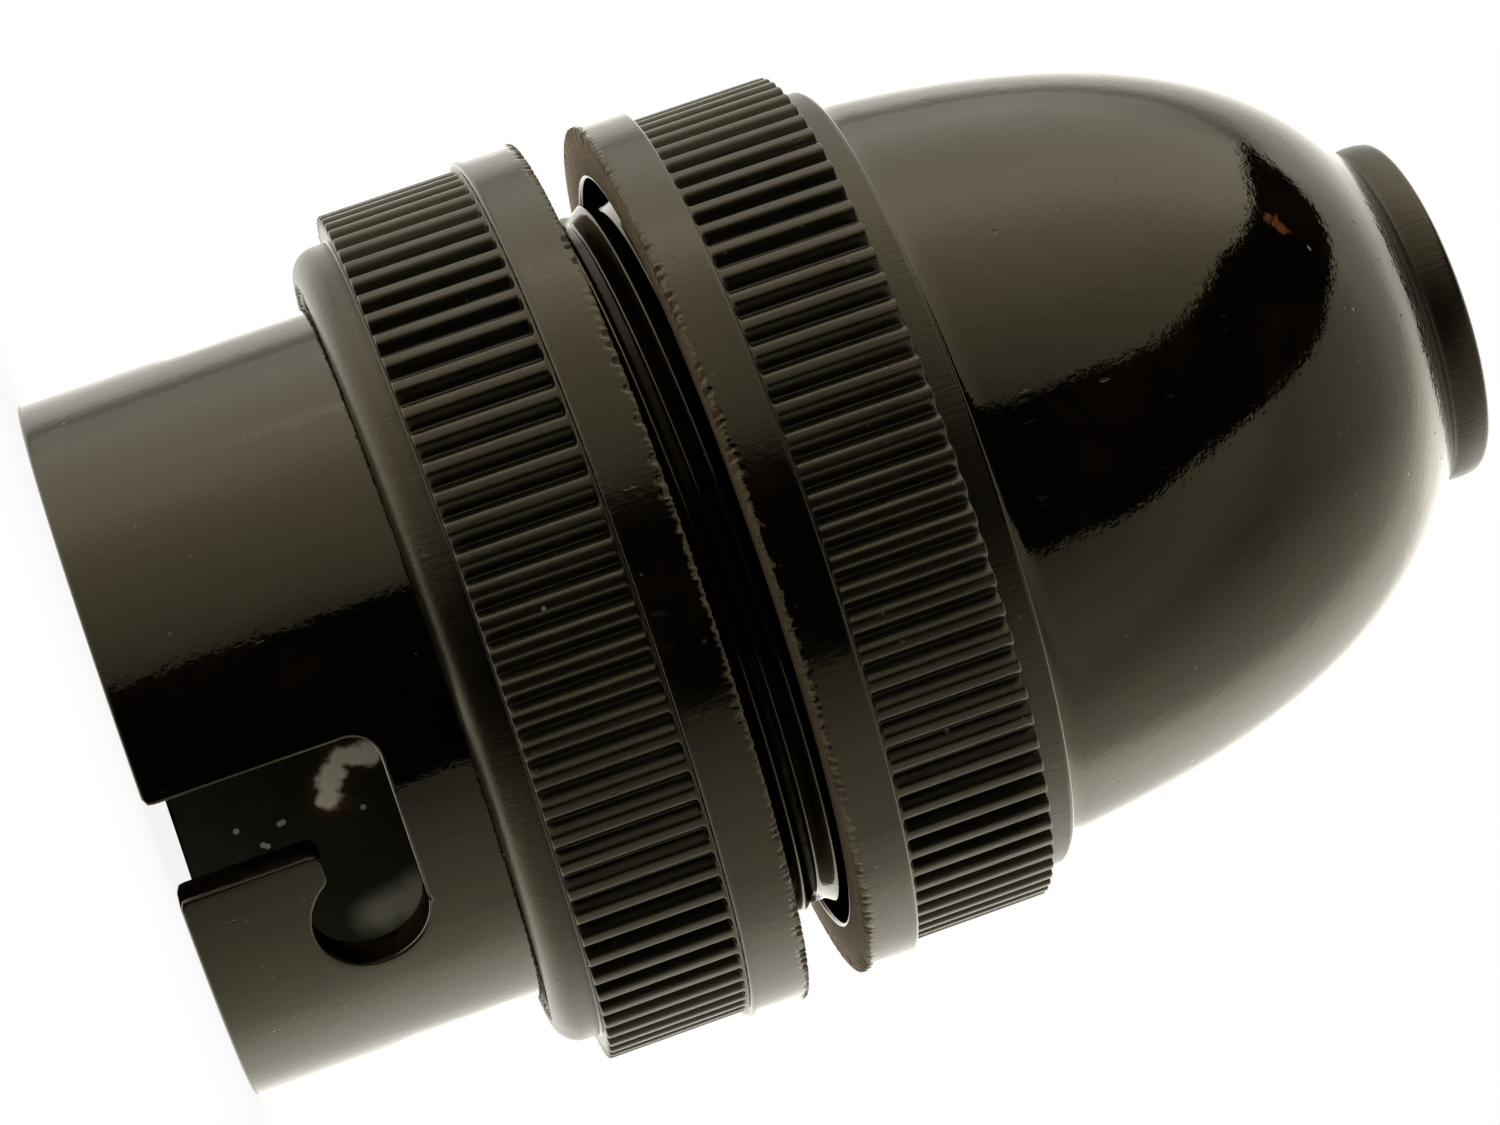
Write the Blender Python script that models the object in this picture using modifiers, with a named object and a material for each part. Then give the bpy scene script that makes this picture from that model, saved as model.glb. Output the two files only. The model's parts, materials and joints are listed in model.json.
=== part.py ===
"""Bayonet lampholder with shade ring, metres, +Z up.

The part stands on the mouth of its barrel: the origin is the centre of the mouth, the lamp goes in from
below along +Z and the cord enters through the lip at the top of the dome. Front is -Y.
"""
import math

import bmesh
import bpy
from mathutils import Matrix, Vector

COLLECTION_NAME = "bayonet_lampholder"

# Clearance between pieces that touch, seat or run in each other
GAP = 0.0003

# Barrel: plain skirt below, threaded neck above, seat for the inner mouldings at the top
BARREL_RADIUS = 0.0140
BARREL_WALL = 0.0023
SKIRT_HEIGHT = 0.0120
NECK_HEIGHT = 0.0173
THREAD_STEP = 0.0002
SOCKET_DEPTH = 0.0160
LEDGE_WIDTH = 0.0009
BARREL_EDGE = 0.0003

# Bayonet slots: an entry from the mouth, a leg across and a round hook turned back to the mouth
SLOT_ANGLE = math.radians(16.25)
ENTRY_WIDTH = 0.00373
LEG_FLOOR = 0.0053
LEG_WIDTH = 0.0032
HOOK_RADIUS = 0.00215
HOOK_REACH = 0.00497
SLOT_CORNER = 0.0011
SLOT_TIP = 0.00045
SLOT_LIP = 0.0003
SLOT_CUT_SHARE = 0.55

# Grip ribs on the ring and the dome
RIB_COUNT = 90
RIB_HEIGHT = 0.00035
RIB_CREST_SHARE = 0.26
RIB_FOOT_SHARE = 0.46

# Shade ring: lip, bead, ribbed grip and plain band, sizes outward from its bore
BEAD_WALL = 0.00167
BEAD_LIP_WALL = 0.0005
BEAD_HEIGHT = 0.00163
BEAD_ROLL_SHARE = 0.7
RING_GRIP_WALL = 0.0027
RING_GRIP_HEIGHT = 0.00555
RING_BAND_WALL = 0.00305
RING_BAND_HEIGHT = 0.00233
RING_EDGE = 0.0003
SHADE_SPACE = 0.0024

# Dome cap: plain band, ribbed grip, shoulder, taper, crown arc, throat and lip
DOME_SOCKET_DEPTH = 0.00826
DOME_BAND_WALL = 0.00285
DOME_BAND_HEIGHT = 0.00208
DOME_GRIP_WALL = 0.00235
DOME_GRIP_HEIGHT = 0.00564
SHOULDER_WALL = 0.0014
SHOULDER_HEIGHT = 0.0012
SHOULDER_STEP = 0.00065
TAPER_HEIGHT = 0.0048
TAPER_DROP = 0.00075
CROWN_HEIGHT = 0.0144
DOME_WALL = 0.0022
CORD_BORE_RADIUS = 0.0050
THROAT_WALL = 0.00165
LIP_WALL = 0.00181
LIP_HEIGHT = 0.0018
DOME_EDGE = 0.0003

# Inner mouldings
WELL_FLOOR = 0.0015
CARRIER_HEIGHT = 0.0077
FLANGE_HEIGHT = 0.0018
LUG_WIDTH = 0.0040
LUG_DEPTH = 0.0024
BARRIER_LENGTH = 0.0120
BARRIER_HEIGHT = 0.0062
BARRIER_THICKNESS = 0.0018
BARRIER_NOTCH = 0.0016
MOULD_EDGE = 0.0004

# Terminal posts, plungers and springs
CONTACT_SPACING = 0.0110
POST_RADIUS = 0.0039
POST_WALL = 0.0007
POST_TUBE_HEIGHT = 0.0109
POST_ROOF = 0.0004
HEAD_RADIUS = 0.0033
HEAD_HEIGHT = 0.0090
WIRE_HOLE_RADIUS = 0.0013
WIRE_HOLE_HEIGHT = 0.0053
PLUNGER_RADIUS = 0.00205
PLUNGER_REACH = 0.0050
PLUNGER_NOSE_SHARE = 0.5
PLUNGER_COLLAR_HEIGHT = 0.0014
SPIGOT_RADIUS = 0.0015
SPIGOT_HEIGHT = 0.0010
SPRING_WIRE = 0.0005
SPRING_TURNS = 5.5
SPRING_POINTS_PER_TURN = 10

# Screws
TERMINAL_SHANK_RADIUS = 0.00135
TERMINAL_SHANK_LENGTH = 0.0030
BRIDGE_SCREW_RADIUS = 0.00125
BRIDGE_SCREW_LENGTH = 0.0110
BRIDGE_SCREW_SPACING = 0.0180
SCREW_HEAD_WALL = 0.0010
SCREW_HEAD_HEIGHT = 0.0013
SCREW_EDGE = 0.00025
SCREW_SLOT_WIDTH = 0.0006
SCREW_SLOT_DEPTH = 0.0006

# Facets round a full turn
MOULD_SEGMENTS = 48
INNER_SEGMENTS = 32
SMALL_SEGMENTS = 16
ARC_STEPS = 3

# Radii that follow from the sizes above
SOCKET_RADIUS = BARREL_RADIUS - BARREL_WALL
SEAT_RADIUS = SOCKET_RADIUS + LEDGE_WIDTH
NECK_RADIUS = BARREL_RADIUS + THREAD_STEP
THREAD_BORE = NECK_RADIUS + GAP
INNER_RADIUS = SEAT_RADIUS - GAP
FLANGE_RADIUS = NECK_RADIUS - GAP
TUBE_BORE = POST_RADIUS - POST_WALL
COLLAR_RADIUS = TUBE_BORE - GAP
WELL_RADIUS = POST_RADIUS + GAP
HEAD_HOLE_RADIUS = HEAD_RADIUS + GAP
SPRING_RADIUS = TUBE_BORE - GAP - SPRING_WIRE / 2
TERMINAL_HEAD_RADIUS = TERMINAL_SHANK_RADIUS + SCREW_HEAD_WALL
BRIDGE_HEAD_RADIUS = BRIDGE_SCREW_RADIUS + SCREW_HEAD_WALL

# Heights that follow, from the mouth upward
BARREL_HEIGHT = SKIRT_HEIGHT + NECK_HEIGHT
CARRIER_FOOT = SOCKET_DEPTH + GAP
WELL_BOTTOM = CARRIER_FOOT + WELL_FLOOR
CARRIER_TOP = CARRIER_FOOT + CARRIER_HEIGHT
BRIDGE_FOOT = CARRIER_TOP + GAP
FLANGE_FOOT = BARREL_HEIGHT + GAP
BRIDGE_TOP = FLANGE_FOOT + FLANGE_HEIGHT
POST_FOOT = WELL_BOTTOM + GAP
POST_SHOULDER = POST_FOOT + POST_TUBE_HEIGHT
POST_TOP = POST_SHOULDER + HEAD_HEIGHT
TUBE_TOP = POST_SHOULDER - POST_ROOF
COLLAR_TOP = WELL_BOTTOM + GAP + PLUNGER_COLLAR_HEIGHT
PLUNGER_TIP = CARRIER_FOOT - PLUNGER_REACH
CLAMP_HEIGHT = BRIDGE_TOP + GAP
DOME_FOOT = CLAMP_HEIGHT - DOME_SOCKET_DEPTH
RING_TOP = DOME_FOOT - SHADE_SPACE
RING_FOOT = RING_TOP - RING_BAND_HEIGHT - RING_GRIP_HEIGHT - BEAD_HEIGHT

# A lamp pin at rest in the hook lies at this angle, and the contacts lie square to it
LOCK_ANGLE = SLOT_ANGLE + math.asin(HOOK_REACH / BARREL_RADIUS)

# Overlap of shapes that are joined into one moulding, and overrun of cutters past a face
BITE = 0.0004
OVERRUN = 0.0010


def arc(centre_r, centre_z, radius, start, end, steps=ARC_STEPS):
    """Points of a circular arc in the profile plane, angles in degrees from the +r direction."""
    angles = [math.radians(start + (end - start) * i / steps) for i in range(steps + 1)]
    return [(centre_r + radius * math.cos(a), centre_z + radius * math.sin(a)) for a in angles]


def flat_point(angle, radius):
    """Point at a radius in the XY plane, angle from +X toward +Y."""
    return Vector((radius * math.cos(angle), radius * math.sin(angle), 0.0))


def material(name, colour, roughness, metallic):
    """Principled material with one colour."""
    made = bpy.data.materials.new(name)
    made.use_nodes = True
    shader = made.node_tree.nodes["Principled BSDF"]
    shader.inputs["Base Color"].default_value = (*colour, 1.0)
    shader.inputs["Roughness"].default_value = roughness
    shader.inputs["Metallic"].default_value = metallic
    return made


def place(name, data, group, look=None):
    """New object from mesh or curve data, in a collection, with its material."""
    made = bpy.data.objects.new(name, data)
    group.objects.link(made)
    if look:
        data.materials.append(look)
    return made


def turned(name, profile, group, look=None, closed=True, segments=MOULD_SEGMENTS):
    """Turned piece: an (r, z) profile that runs down its outer side, swept about Z by a Screw modifier."""
    mesh = bpy.data.meshes.new(name)
    points = [(r, 0.0, z) for r, z in profile]
    edges = [(i, i + 1) for i in range(len(points) - 1)]
    if closed:
        edges.append((len(points) - 1, 0))
    mesh.from_pydata(points, edges, [])
    made = place(name, mesh, group, look)
    sweep = made.modifiers.new("Turn", "SCREW")
    sweep.axis = "Z"
    sweep.angle = math.tau
    sweep.steps = segments
    sweep.render_steps = segments
    sweep.use_merge_vertices = True
    sweep.merge_threshold = 0.00001
    sweep.use_smooth_shade = True
    return made


def as_guide(made):
    """Marks an object as a cutter or a joined shape, which is not a piece of its own."""
    made.hide_render = True
    made.display_type = "WIRE"
    return made


def cylinder(name, radius, bottom, top, group, axis_point=(0.0, 0.0), segments=SMALL_SEGMENTS):
    """Upright cylinder guide."""
    mesh = bpy.data.meshes.new(name)
    shape = bmesh.new()
    bmesh.ops.create_cone(
        shape, cap_ends=True, segments=segments, radius1=radius, radius2=radius, depth=top - bottom
    )
    shape.to_mesh(mesh)
    shape.free()
    made = as_guide(place(name, mesh, group))
    made.location = (axis_point[0], axis_point[1], (bottom + top) / 2)
    return made


def box(name, size, centre, group, turn=0.0):
    """Box guide of a given size, turned about Z."""
    mesh = bpy.data.meshes.new(name)
    shape = bmesh.new()
    bmesh.ops.create_cube(shape, size=1.0, matrix=Matrix.Diagonal((*size, 1.0)))
    shape.to_mesh(mesh)
    shape.free()
    made = as_guide(place(name, mesh, group))
    made.location = centre
    made.rotation_euler = (0.0, 0.0, turn)
    return made


def outline_solid(name, loops, half_depth, group):
    """Guide made from flat outlines (the first outside, the others holes), extruded both ways along Z."""
    flat = bpy.data.curves.new(name, "CURVE")
    flat.dimensions = "2D"
    flat.fill_mode = "BOTH"
    flat.extrude = half_depth
    for loop in loops:
        spline = flat.splines.new("POLY")
        spline.points.add(len(loop) - 1)
        for point, (x, y) in zip(spline.points, loop):
            point.co = (x, y, 0.0, 1.0)
        spline.use_cyclic_u = True
    drawn = place(name + "_outline", flat, group)
    bpy.context.view_layer.update()
    evaluated = drawn.evaluated_get(bpy.context.evaluated_depsgraph_get())
    mesh = bpy.data.meshes.new_from_object(evaluated)
    bpy.data.objects.remove(drawn)
    shape = bmesh.new()
    shape.from_mesh(mesh)
    bmesh.ops.remove_doubles(shape, verts=shape.verts, dist=0.000001)
    bmesh.ops.recalc_face_normals(shape, faces=shape.faces)
    shape.to_mesh(mesh)
    shape.free()
    return as_guide(place(name, mesh, group))


def combine(made, guide, operation):
    """Adds a Boolean of a guide to a piece."""
    step = made.modifiers.new(guide.name, "BOOLEAN")
    step.operation = operation
    step.solver = "EXACT"
    step.object = guide
    return made


def cut(made, guide):
    """Cuts a guide out of a piece."""
    return combine(made, guide, "DIFFERENCE")


def join(made, guide):
    """Joins a guide to a piece."""
    return combine(made, guide, "UNION")


def slot_outline():
    """Outline of one bayonet slot seen from outside: x round the barrel from the entry's middle, y up."""
    half = ENTRY_WIDTH / 2
    roof = LEG_FLOOR + LEG_WIDTH
    hook_y = roof - HOOK_RADIUS
    tip_y = LEG_FLOOR - SLOT_TIP
    drop = hook_y - tip_y
    bend = HOOK_RADIUS + SLOT_TIP
    tip_x = HOOK_REACH - math.sqrt(bend * bend - drop * drop)
    bend_angle = math.degrees(math.asin(drop / bend))
    points = [(-half - SLOT_LIP, -OVERRUN)]
    points += arc(-half - SLOT_LIP, SLOT_LIP, SLOT_LIP, -90, 0)
    points += arc(-half + SLOT_CORNER, roof - SLOT_CORNER, SLOT_CORNER, 180, 90, 2 * ARC_STEPS)
    points += arc(HOOK_REACH, hook_y, HOOK_RADIUS, 90, bend_angle - 180, 6 * ARC_STEPS)
    points += arc(tip_x, tip_y, SLOT_TIP, bend_angle, 90)
    points += arc(half + SLOT_TIP, tip_y, SLOT_TIP, 90, 180)
    points += arc(half + SLOT_LIP, SLOT_LIP, SLOT_LIP, 180, 270)
    points += [(half + SLOT_LIP, -OVERRUN)]
    return points


def barrel(group, guides, look):
    """Barrel with plain skirt, threaded neck as a plain mean cylinder, two J slots and two rim notches."""
    edge = BARREL_EDGE
    profile = [(SEAT_RADIUS, BARREL_HEIGHT)]
    profile += arc(NECK_RADIUS - edge, BARREL_HEIGHT - edge, edge, 90, 0)
    profile += [(NECK_RADIUS, SKIRT_HEIGHT), (BARREL_RADIUS, SKIRT_HEIGHT - THREAD_STEP)]
    profile += arc(BARREL_RADIUS - edge, edge, edge, 0, -90)
    profile += arc(SOCKET_RADIUS + edge, edge, edge, 270, 180)
    profile += [(SOCKET_RADIUS, SOCKET_DEPTH), (SEAT_RADIUS, SOCKET_DEPTH)]
    made = turned("bayonet_barrel", profile, group, look)
    half_depth = SLOT_CUT_SHARE * BARREL_RADIUS
    for index in range(2):
        turn = SLOT_ANGLE + index * math.pi
        slot = outline_solid(f"slot_{index}", [slot_outline()], half_depth, guides)
        slot.rotation_euler = (math.pi / 2, 0.0, turn)
        slot.location = flat_point(turn - math.pi / 2, BARREL_RADIUS / 2)
        cut(made, slot)
        middle = flat_point(LOCK_ANGLE - math.pi / 2 + index * math.pi, NECK_RADIUS)
        depth = LUG_DEPTH + GAP
        middle.z = BARREL_HEIGHT - depth + (depth + OVERRUN) / 2
        size = (2 * BARREL_WALL, LUG_WIDTH + 2 * GAP, depth + OVERRUN)
        notch = box(f"rim_notch_{index}", size, middle, guides, LOCK_ANGLE - math.pi / 2)
        cut(made, notch)
    return made


def ribbed_band(name, crest_radius, inner_radius, bottom, top, guides):
    """Ribbed collar: trapezoid ribs round a circle, with a plain hole."""
    pitch = math.tau / RIB_COUNT
    root_radius = crest_radius - RIB_HEIGHT
    outside = []
    for rib in range(RIB_COUNT):
        middle = rib * pitch
        for radius, share in (
            (root_radius, -RIB_FOOT_SHARE),
            (crest_radius, -RIB_CREST_SHARE),
            (crest_radius, RIB_CREST_SHARE),
            (root_radius, RIB_FOOT_SHARE),
        ):
            angle = middle + share * pitch / 2
            outside.append((radius * math.cos(angle), radius * math.sin(angle)))
    steps = [math.tau * i / MOULD_SEGMENTS for i in range(MOULD_SEGMENTS)]
    inside = [(inner_radius * math.cos(a), inner_radius * math.sin(a)) for a in steps]
    made = outline_solid(name, [outside, inside], (top - bottom) / 2, guides)
    made.location = (0.0, 0.0, (top + bottom) / 2)
    return made


def shade_ring(group, guides, look):
    """Screwed ring: thin lip and rounded bead below, ribbed grip, plain band above."""
    bead_radius = THREAD_BORE + BEAD_WALL
    lip_radius = THREAD_BORE + BEAD_LIP_WALL
    crest_radius = THREAD_BORE + RING_GRIP_WALL
    band_radius = THREAD_BORE + RING_BAND_WALL
    grip_foot = RING_FOOT + BEAD_HEIGHT
    grip_top = grip_foot + RING_GRIP_HEIGHT
    core_radius = crest_radius - RIB_HEIGHT - BITE
    roll = min(bead_radius - lip_radius, BEAD_ROLL_SHARE * BEAD_HEIGHT)
    profile = [(THREAD_BORE, RING_TOP)]
    profile += arc(band_radius - RING_EDGE, RING_TOP - RING_EDGE, RING_EDGE, 90, 0)
    profile += arc(band_radius - RING_EDGE, grip_top + RING_EDGE, RING_EDGE, 0, -90)
    profile += [(core_radius, grip_top), (core_radius, grip_foot), (bead_radius, grip_foot)]
    profile += arc(bead_radius - roll, RING_FOOT + roll, roll, 0, -90, 2 * ARC_STEPS)
    profile += [(THREAD_BORE, RING_FOOT)]
    made = turned("shade_ring", profile, group, look)
    ribs = ribbed_band("ring_ribs", crest_radius, core_radius - BITE, grip_foot, grip_top + BITE, guides)
    return join(made, ribs)


def dome_cap(group, guides, look):
    """Screwed cap: plain band, ribbed grip, shoulder, tapered wall, round crown, throat and lip."""
    band_radius = THREAD_BORE + DOME_BAND_WALL
    crest_radius = THREAD_BORE + DOME_GRIP_WALL
    shoulder_radius = THREAD_BORE + SHOULDER_WALL
    core_radius = crest_radius - RIB_HEIGHT - BITE
    grip_foot = DOME_FOOT + DOME_BAND_HEIGHT
    grip_top = grip_foot + DOME_GRIP_HEIGHT
    taper_foot = Vector((shoulder_radius - SHOULDER_STEP, grip_top + SHOULDER_HEIGHT))
    taper_top = taper_foot + Vector((-TAPER_DROP, TAPER_HEIGHT))
    throat = Vector((CORD_BORE_RADIUS + THROAT_WALL, taper_top.y + CROWN_HEIGHT))
    lip_radius = CORD_BORE_RADIUS + LIP_WALL
    top = throat.y + LIP_HEIGHT
    # The crown is the one circle that runs on from the taper and passes through the throat
    along = (taper_top - taper_foot).normalized()
    inward = Vector((-along.y, along.x))
    span = throat - taper_top
    radius = span.length_squared / (2 * span.dot(inward))
    centre = taper_top + radius * inward
    start = math.degrees(math.atan2(-inward.y, -inward.x))
    end = math.degrees(math.atan2(throat.y - centre.y, throat.x - centre.x))
    inner_radius = radius - DOME_WALL
    inner_end = math.degrees(math.acos((CORD_BORE_RADIUS - centre.x) / inner_radius))
    inner_foot = taper_foot + DOME_WALL * inward
    inner_foot += along * (CLAMP_HEIGHT - inner_foot.y) / along.y
    crown_steps = 3 * ARC_STEPS
    lip_foot = throat.y + LIP_WALL - THROAT_WALL
    profile = [(CORD_BORE_RADIUS, top)]
    profile += arc(lip_radius - DOME_EDGE, top - DOME_EDGE, DOME_EDGE, 90, 0)
    profile += [(lip_radius, lip_foot)]
    profile += arc(centre.x, centre.y, radius, end, start, crown_steps)
    profile += [tuple(taper_foot), (shoulder_radius, taper_foot.y), (shoulder_radius, grip_top)]
    profile += [(core_radius, grip_top), (core_radius, grip_foot)]
    profile += arc(band_radius - DOME_EDGE, grip_foot - DOME_EDGE, DOME_EDGE, 90, 0)
    profile += arc(band_radius - DOME_EDGE, DOME_FOOT + DOME_EDGE, DOME_EDGE, 0, -90)
    profile += [(THREAD_BORE, DOME_FOOT), (THREAD_BORE, CLAMP_HEIGHT), tuple(inner_foot)]
    profile += arc(centre.x, centre.y, inner_radius, start, inner_end, crown_steps)
    made = turned("dome_cap", profile, group, look)
    ribs = ribbed_band("dome_ribs", crest_radius, core_radius - BITE, grip_foot - BITE, grip_top, guides)
    return join(made, ribs)


def contact_points():
    """Axis points of the two contacts, square to a lamp pin at rest in the hook."""
    left = flat_point(LOCK_ANGLE, -CONTACT_SPACING / 2)
    return {"left": left, "right": -left}


def bridge_screw_points():
    """Axis points of the two screws that hold the bridge on the carrier."""
    front = flat_point(LOCK_ANGLE - math.pi / 2, BRIDGE_SCREW_SPACING / 2)
    return {"front": front, "back": -front}


def bridge_head_foot():
    """Height of the underside of the bridge screws' heads, sunk below the flange."""
    return BRIDGE_TOP - SCREW_HEAD_HEIGHT - GAP


def plunger_carrier(group, guides, look):
    """Lower moulding: a drum on the barrel's ledge, with two stepped wells and two blind screw holes."""
    edge = MOULD_EDGE
    profile = [(0.0, CARRIER_TOP), (INNER_RADIUS - edge, CARRIER_TOP), (INNER_RADIUS, CARRIER_TOP - edge)]
    profile += [(INNER_RADIUS, CARRIER_FOOT + edge), (INNER_RADIUS - edge, CARRIER_FOOT), (0.0, CARRIER_FOOT)]
    made = turned("plunger_carrier", profile, group, look, closed=False, segments=INNER_SEGMENTS)
    hole_radius = PLUNGER_RADIUS + GAP
    for side, spot in contact_points().items():
        well = cylinder(f"well_{side}", WELL_RADIUS, WELL_BOTTOM, CARRIER_TOP + OVERRUN, guides, spot)
        cut(made, well)
        hole = cylinder(f"pin_hole_{side}", hole_radius, CARRIER_FOOT - OVERRUN, CARRIER_TOP, guides, spot)
        cut(made, hole)
    bottom = bridge_head_foot() - BRIDGE_SCREW_LENGTH - GAP
    for side, spot in bridge_screw_points().items():
        name = f"carrier_screw_hole_{side}"
        hole = cylinder(name, BRIDGE_SCREW_RADIUS + GAP, bottom, CARRIER_TOP + OVERRUN, guides, spot)
        cut(made, hole)
    return made


def barrier_outline():
    """Side view of the barrier: a wall with an arched top and a cord notch at each end."""
    half = BARRIER_LENGTH / 2
    neck = half - BARRIER_NOTCH
    top = BARRIER_HEIGHT
    mid = top - 2 * BARRIER_NOTCH
    right = [(half, -BITE), (half, mid - BARRIER_NOTCH)]
    right += arc(half, mid, BARRIER_NOTCH, 270, 90, 2 * ARC_STEPS)[1:-1]
    right += [(half, mid + BARRIER_NOTCH)]
    right += arc(neck, top - BARRIER_NOTCH, BARRIER_NOTCH, 0, 90)[1:]
    left = [(-x, y) for x, y in reversed(right)]
    return right + left


def terminal_bridge(group, guides, look):
    """Upper moulding: drum and clamped flange, locating lugs, post holes, screw holes and barrier."""
    edge = MOULD_EDGE
    profile = [(0.0, BRIDGE_TOP), (FLANGE_RADIUS - edge, BRIDGE_TOP), (FLANGE_RADIUS, BRIDGE_TOP - edge)]
    profile += [(FLANGE_RADIUS, FLANGE_FOOT), (INNER_RADIUS, FLANGE_FOOT)]
    profile += [(INNER_RADIUS, BRIDGE_FOOT + edge), (INNER_RADIUS - edge, BRIDGE_FOOT), (0.0, BRIDGE_FOOT)]
    made = turned("terminal_bridge", profile, group, look, closed=False, segments=INNER_SEGMENTS)
    lug_reach = FLANGE_RADIUS - INNER_RADIUS + 2 * BITE
    for index in range(2):
        middle = flat_point(LOCK_ANGLE - math.pi / 2 + index * math.pi, FLANGE_RADIUS - BITE / 2 - lug_reach / 2)
        middle.z = FLANGE_FOOT + (BITE - LUG_DEPTH) / 2
        size = (lug_reach, LUG_WIDTH, LUG_DEPTH + BITE)
        lug = box(f"lug_{index}", size, middle, guides, LOCK_ANGLE - math.pi / 2)
        join(made, lug)
    barrier = outline_solid("barrier", [barrier_outline()], BARRIER_THICKNESS / 2, guides)
    barrier.rotation_euler = (math.pi / 2, 0.0, LOCK_ANGLE - math.pi / 2)
    barrier.location = (0.0, 0.0, BRIDGE_TOP)
    join(made, barrier)
    for side, spot in contact_points().items():
        well_top = POST_SHOULDER + GAP
        well = cylinder(f"bridge_well_{side}", WELL_RADIUS, BRIDGE_FOOT - OVERRUN, well_top, guides, spot)
        cut(made, well)
        hole = cylinder(f"head_hole_{side}", HEAD_HOLE_RADIUS, BRIDGE_FOOT, BRIDGE_TOP + OVERRUN, guides, spot)
        cut(made, hole)
    for side, spot in bridge_screw_points().items():
        name = f"bridge_screw_hole_{side}"
        bottom = BRIDGE_FOOT - OVERRUN
        hole = cylinder(name, BRIDGE_SCREW_RADIUS + GAP, bottom, BRIDGE_TOP + OVERRUN, guides, spot)
        cut(made, hole)
        seat = bridge_head_foot() - GAP
        sink = cylinder(f"head_sink_{side}", BRIDGE_HEAD_RADIUS + GAP, seat, BRIDGE_TOP + OVERRUN, guides, spot)
        cut(made, sink)
    return made


def terminal_post(side, spot, group, guides, look):
    """Brass post: a tube for the spring below, a solid head above with a wire hole and a screw hole."""
    edge = GAP
    profile = [(0.0, POST_TOP), (HEAD_RADIUS - edge, POST_TOP), (HEAD_RADIUS, POST_TOP - edge)]
    profile += [(HEAD_RADIUS, POST_SHOULDER), (POST_RADIUS, POST_SHOULDER), (POST_RADIUS, POST_FOOT)]
    profile += [(TUBE_BORE, POST_FOOT), (TUBE_BORE, TUBE_TOP), (0.0, TUBE_TOP)]
    name = f"terminal_post_{side}"
    made = turned(name, profile, group, look, closed=False, segments=SMALL_SEGMENTS)
    made.location = spot
    wire_height = POST_SHOULDER + WIRE_HOLE_HEIGHT
    reach = HEAD_RADIUS + OVERRUN
    wire_hole = cylinder(f"wire_hole_{side}", WIRE_HOLE_RADIUS, -reach, reach, guides, spot)
    wire_hole.rotation_euler = (math.pi / 2, 0.0, LOCK_ANGLE)
    wire_hole.location.z = wire_height
    cut(made, wire_hole)
    bore = TERMINAL_SHANK_RADIUS + GAP
    screw_hole = cylinder(f"screw_hole_{side}", bore, wire_height, POST_TOP + OVERRUN, guides, spot)
    return cut(made, screw_hole)


def plunger(side, spot, group, look):
    """Brass plunger: round-nosed pin, collar that stops on the well's floor, spigot for the spring."""
    spigot_top = COLLAR_TOP + SPIGOT_HEIGHT
    collar_foot = COLLAR_TOP - PLUNGER_COLLAR_HEIGHT
    nose = PLUNGER_NOSE_SHARE * PLUNGER_RADIUS
    profile = [(0.0, spigot_top), (SPIGOT_RADIUS, spigot_top), (SPIGOT_RADIUS, COLLAR_TOP)]
    profile += [(COLLAR_RADIUS, COLLAR_TOP), (COLLAR_RADIUS, collar_foot), (PLUNGER_RADIUS, collar_foot)]
    profile += arc(PLUNGER_RADIUS - nose, PLUNGER_TIP + nose, nose, 0, -90)
    profile += [(0.0, PLUNGER_TIP)]
    made = turned(f"plunger_{side}", profile, group, look, closed=False, segments=SMALL_SEGMENTS)
    made.location = spot
    return made


def plunger_spring(side, spot, group, look):
    """Coil spring between the plunger's collar and the roof of the tube, as one unbroken wire."""
    bottom = COLLAR_TOP + GAP + SPRING_WIRE / 2
    top = TUBE_TOP - GAP - SPRING_WIRE / 2
    count = round(SPRING_TURNS * SPRING_POINTS_PER_TURN)
    wire = bpy.data.curves.new(f"plunger_spring_{side}", "CURVE")
    wire.dimensions = "3D"
    wire.bevel_depth = SPRING_WIRE / 2
    wire.bevel_resolution = 1
    wire.use_fill_caps = True
    spline = wire.splines.new("POLY")
    spline.points.add(count)
    for index, point in enumerate(spline.points):
        angle = math.tau * index / SPRING_POINTS_PER_TURN
        rise = bottom + (top - bottom) * index / count
        point.co = (SPRING_RADIUS * math.cos(angle), SPRING_RADIUS * math.sin(angle), rise, 1.0)
    made = place(f"plunger_spring_{side}", wire, group, look)
    made.location = spot
    return made


def slotted_screw(name, spot, shank, length, head_foot, group, guides, look):
    """Cheese-head screw with a straight slot, shank downward."""
    head = shank + SCREW_HEAD_WALL
    top = head_foot + SCREW_HEAD_HEIGHT
    edge = SCREW_EDGE
    profile = [(0.0, top), (head - edge, top), (head, top - edge), (head, head_foot), (shank, head_foot)]
    profile += [(shank, head_foot - length + edge), (shank - edge, head_foot - length)]
    profile += [(0.0, head_foot - length)]
    made = turned(name, profile, group, look, closed=False, segments=SMALL_SEGMENTS)
    made.location = spot
    size = (SCREW_SLOT_WIDTH, 2 * head + 2 * OVERRUN, SCREW_SLOT_DEPTH + OVERRUN)
    centre = (spot[0], spot[1], top - SCREW_SLOT_DEPTH + size[2] / 2)
    return cut(made, box(f"{name}_slot", size, centre, guides, LOCK_ANGLE))


def new_collection(name):
    """New collection in the scene."""
    made = bpy.data.collections.new(name)
    bpy.context.scene.collection.children.link(made)
    return made


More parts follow.
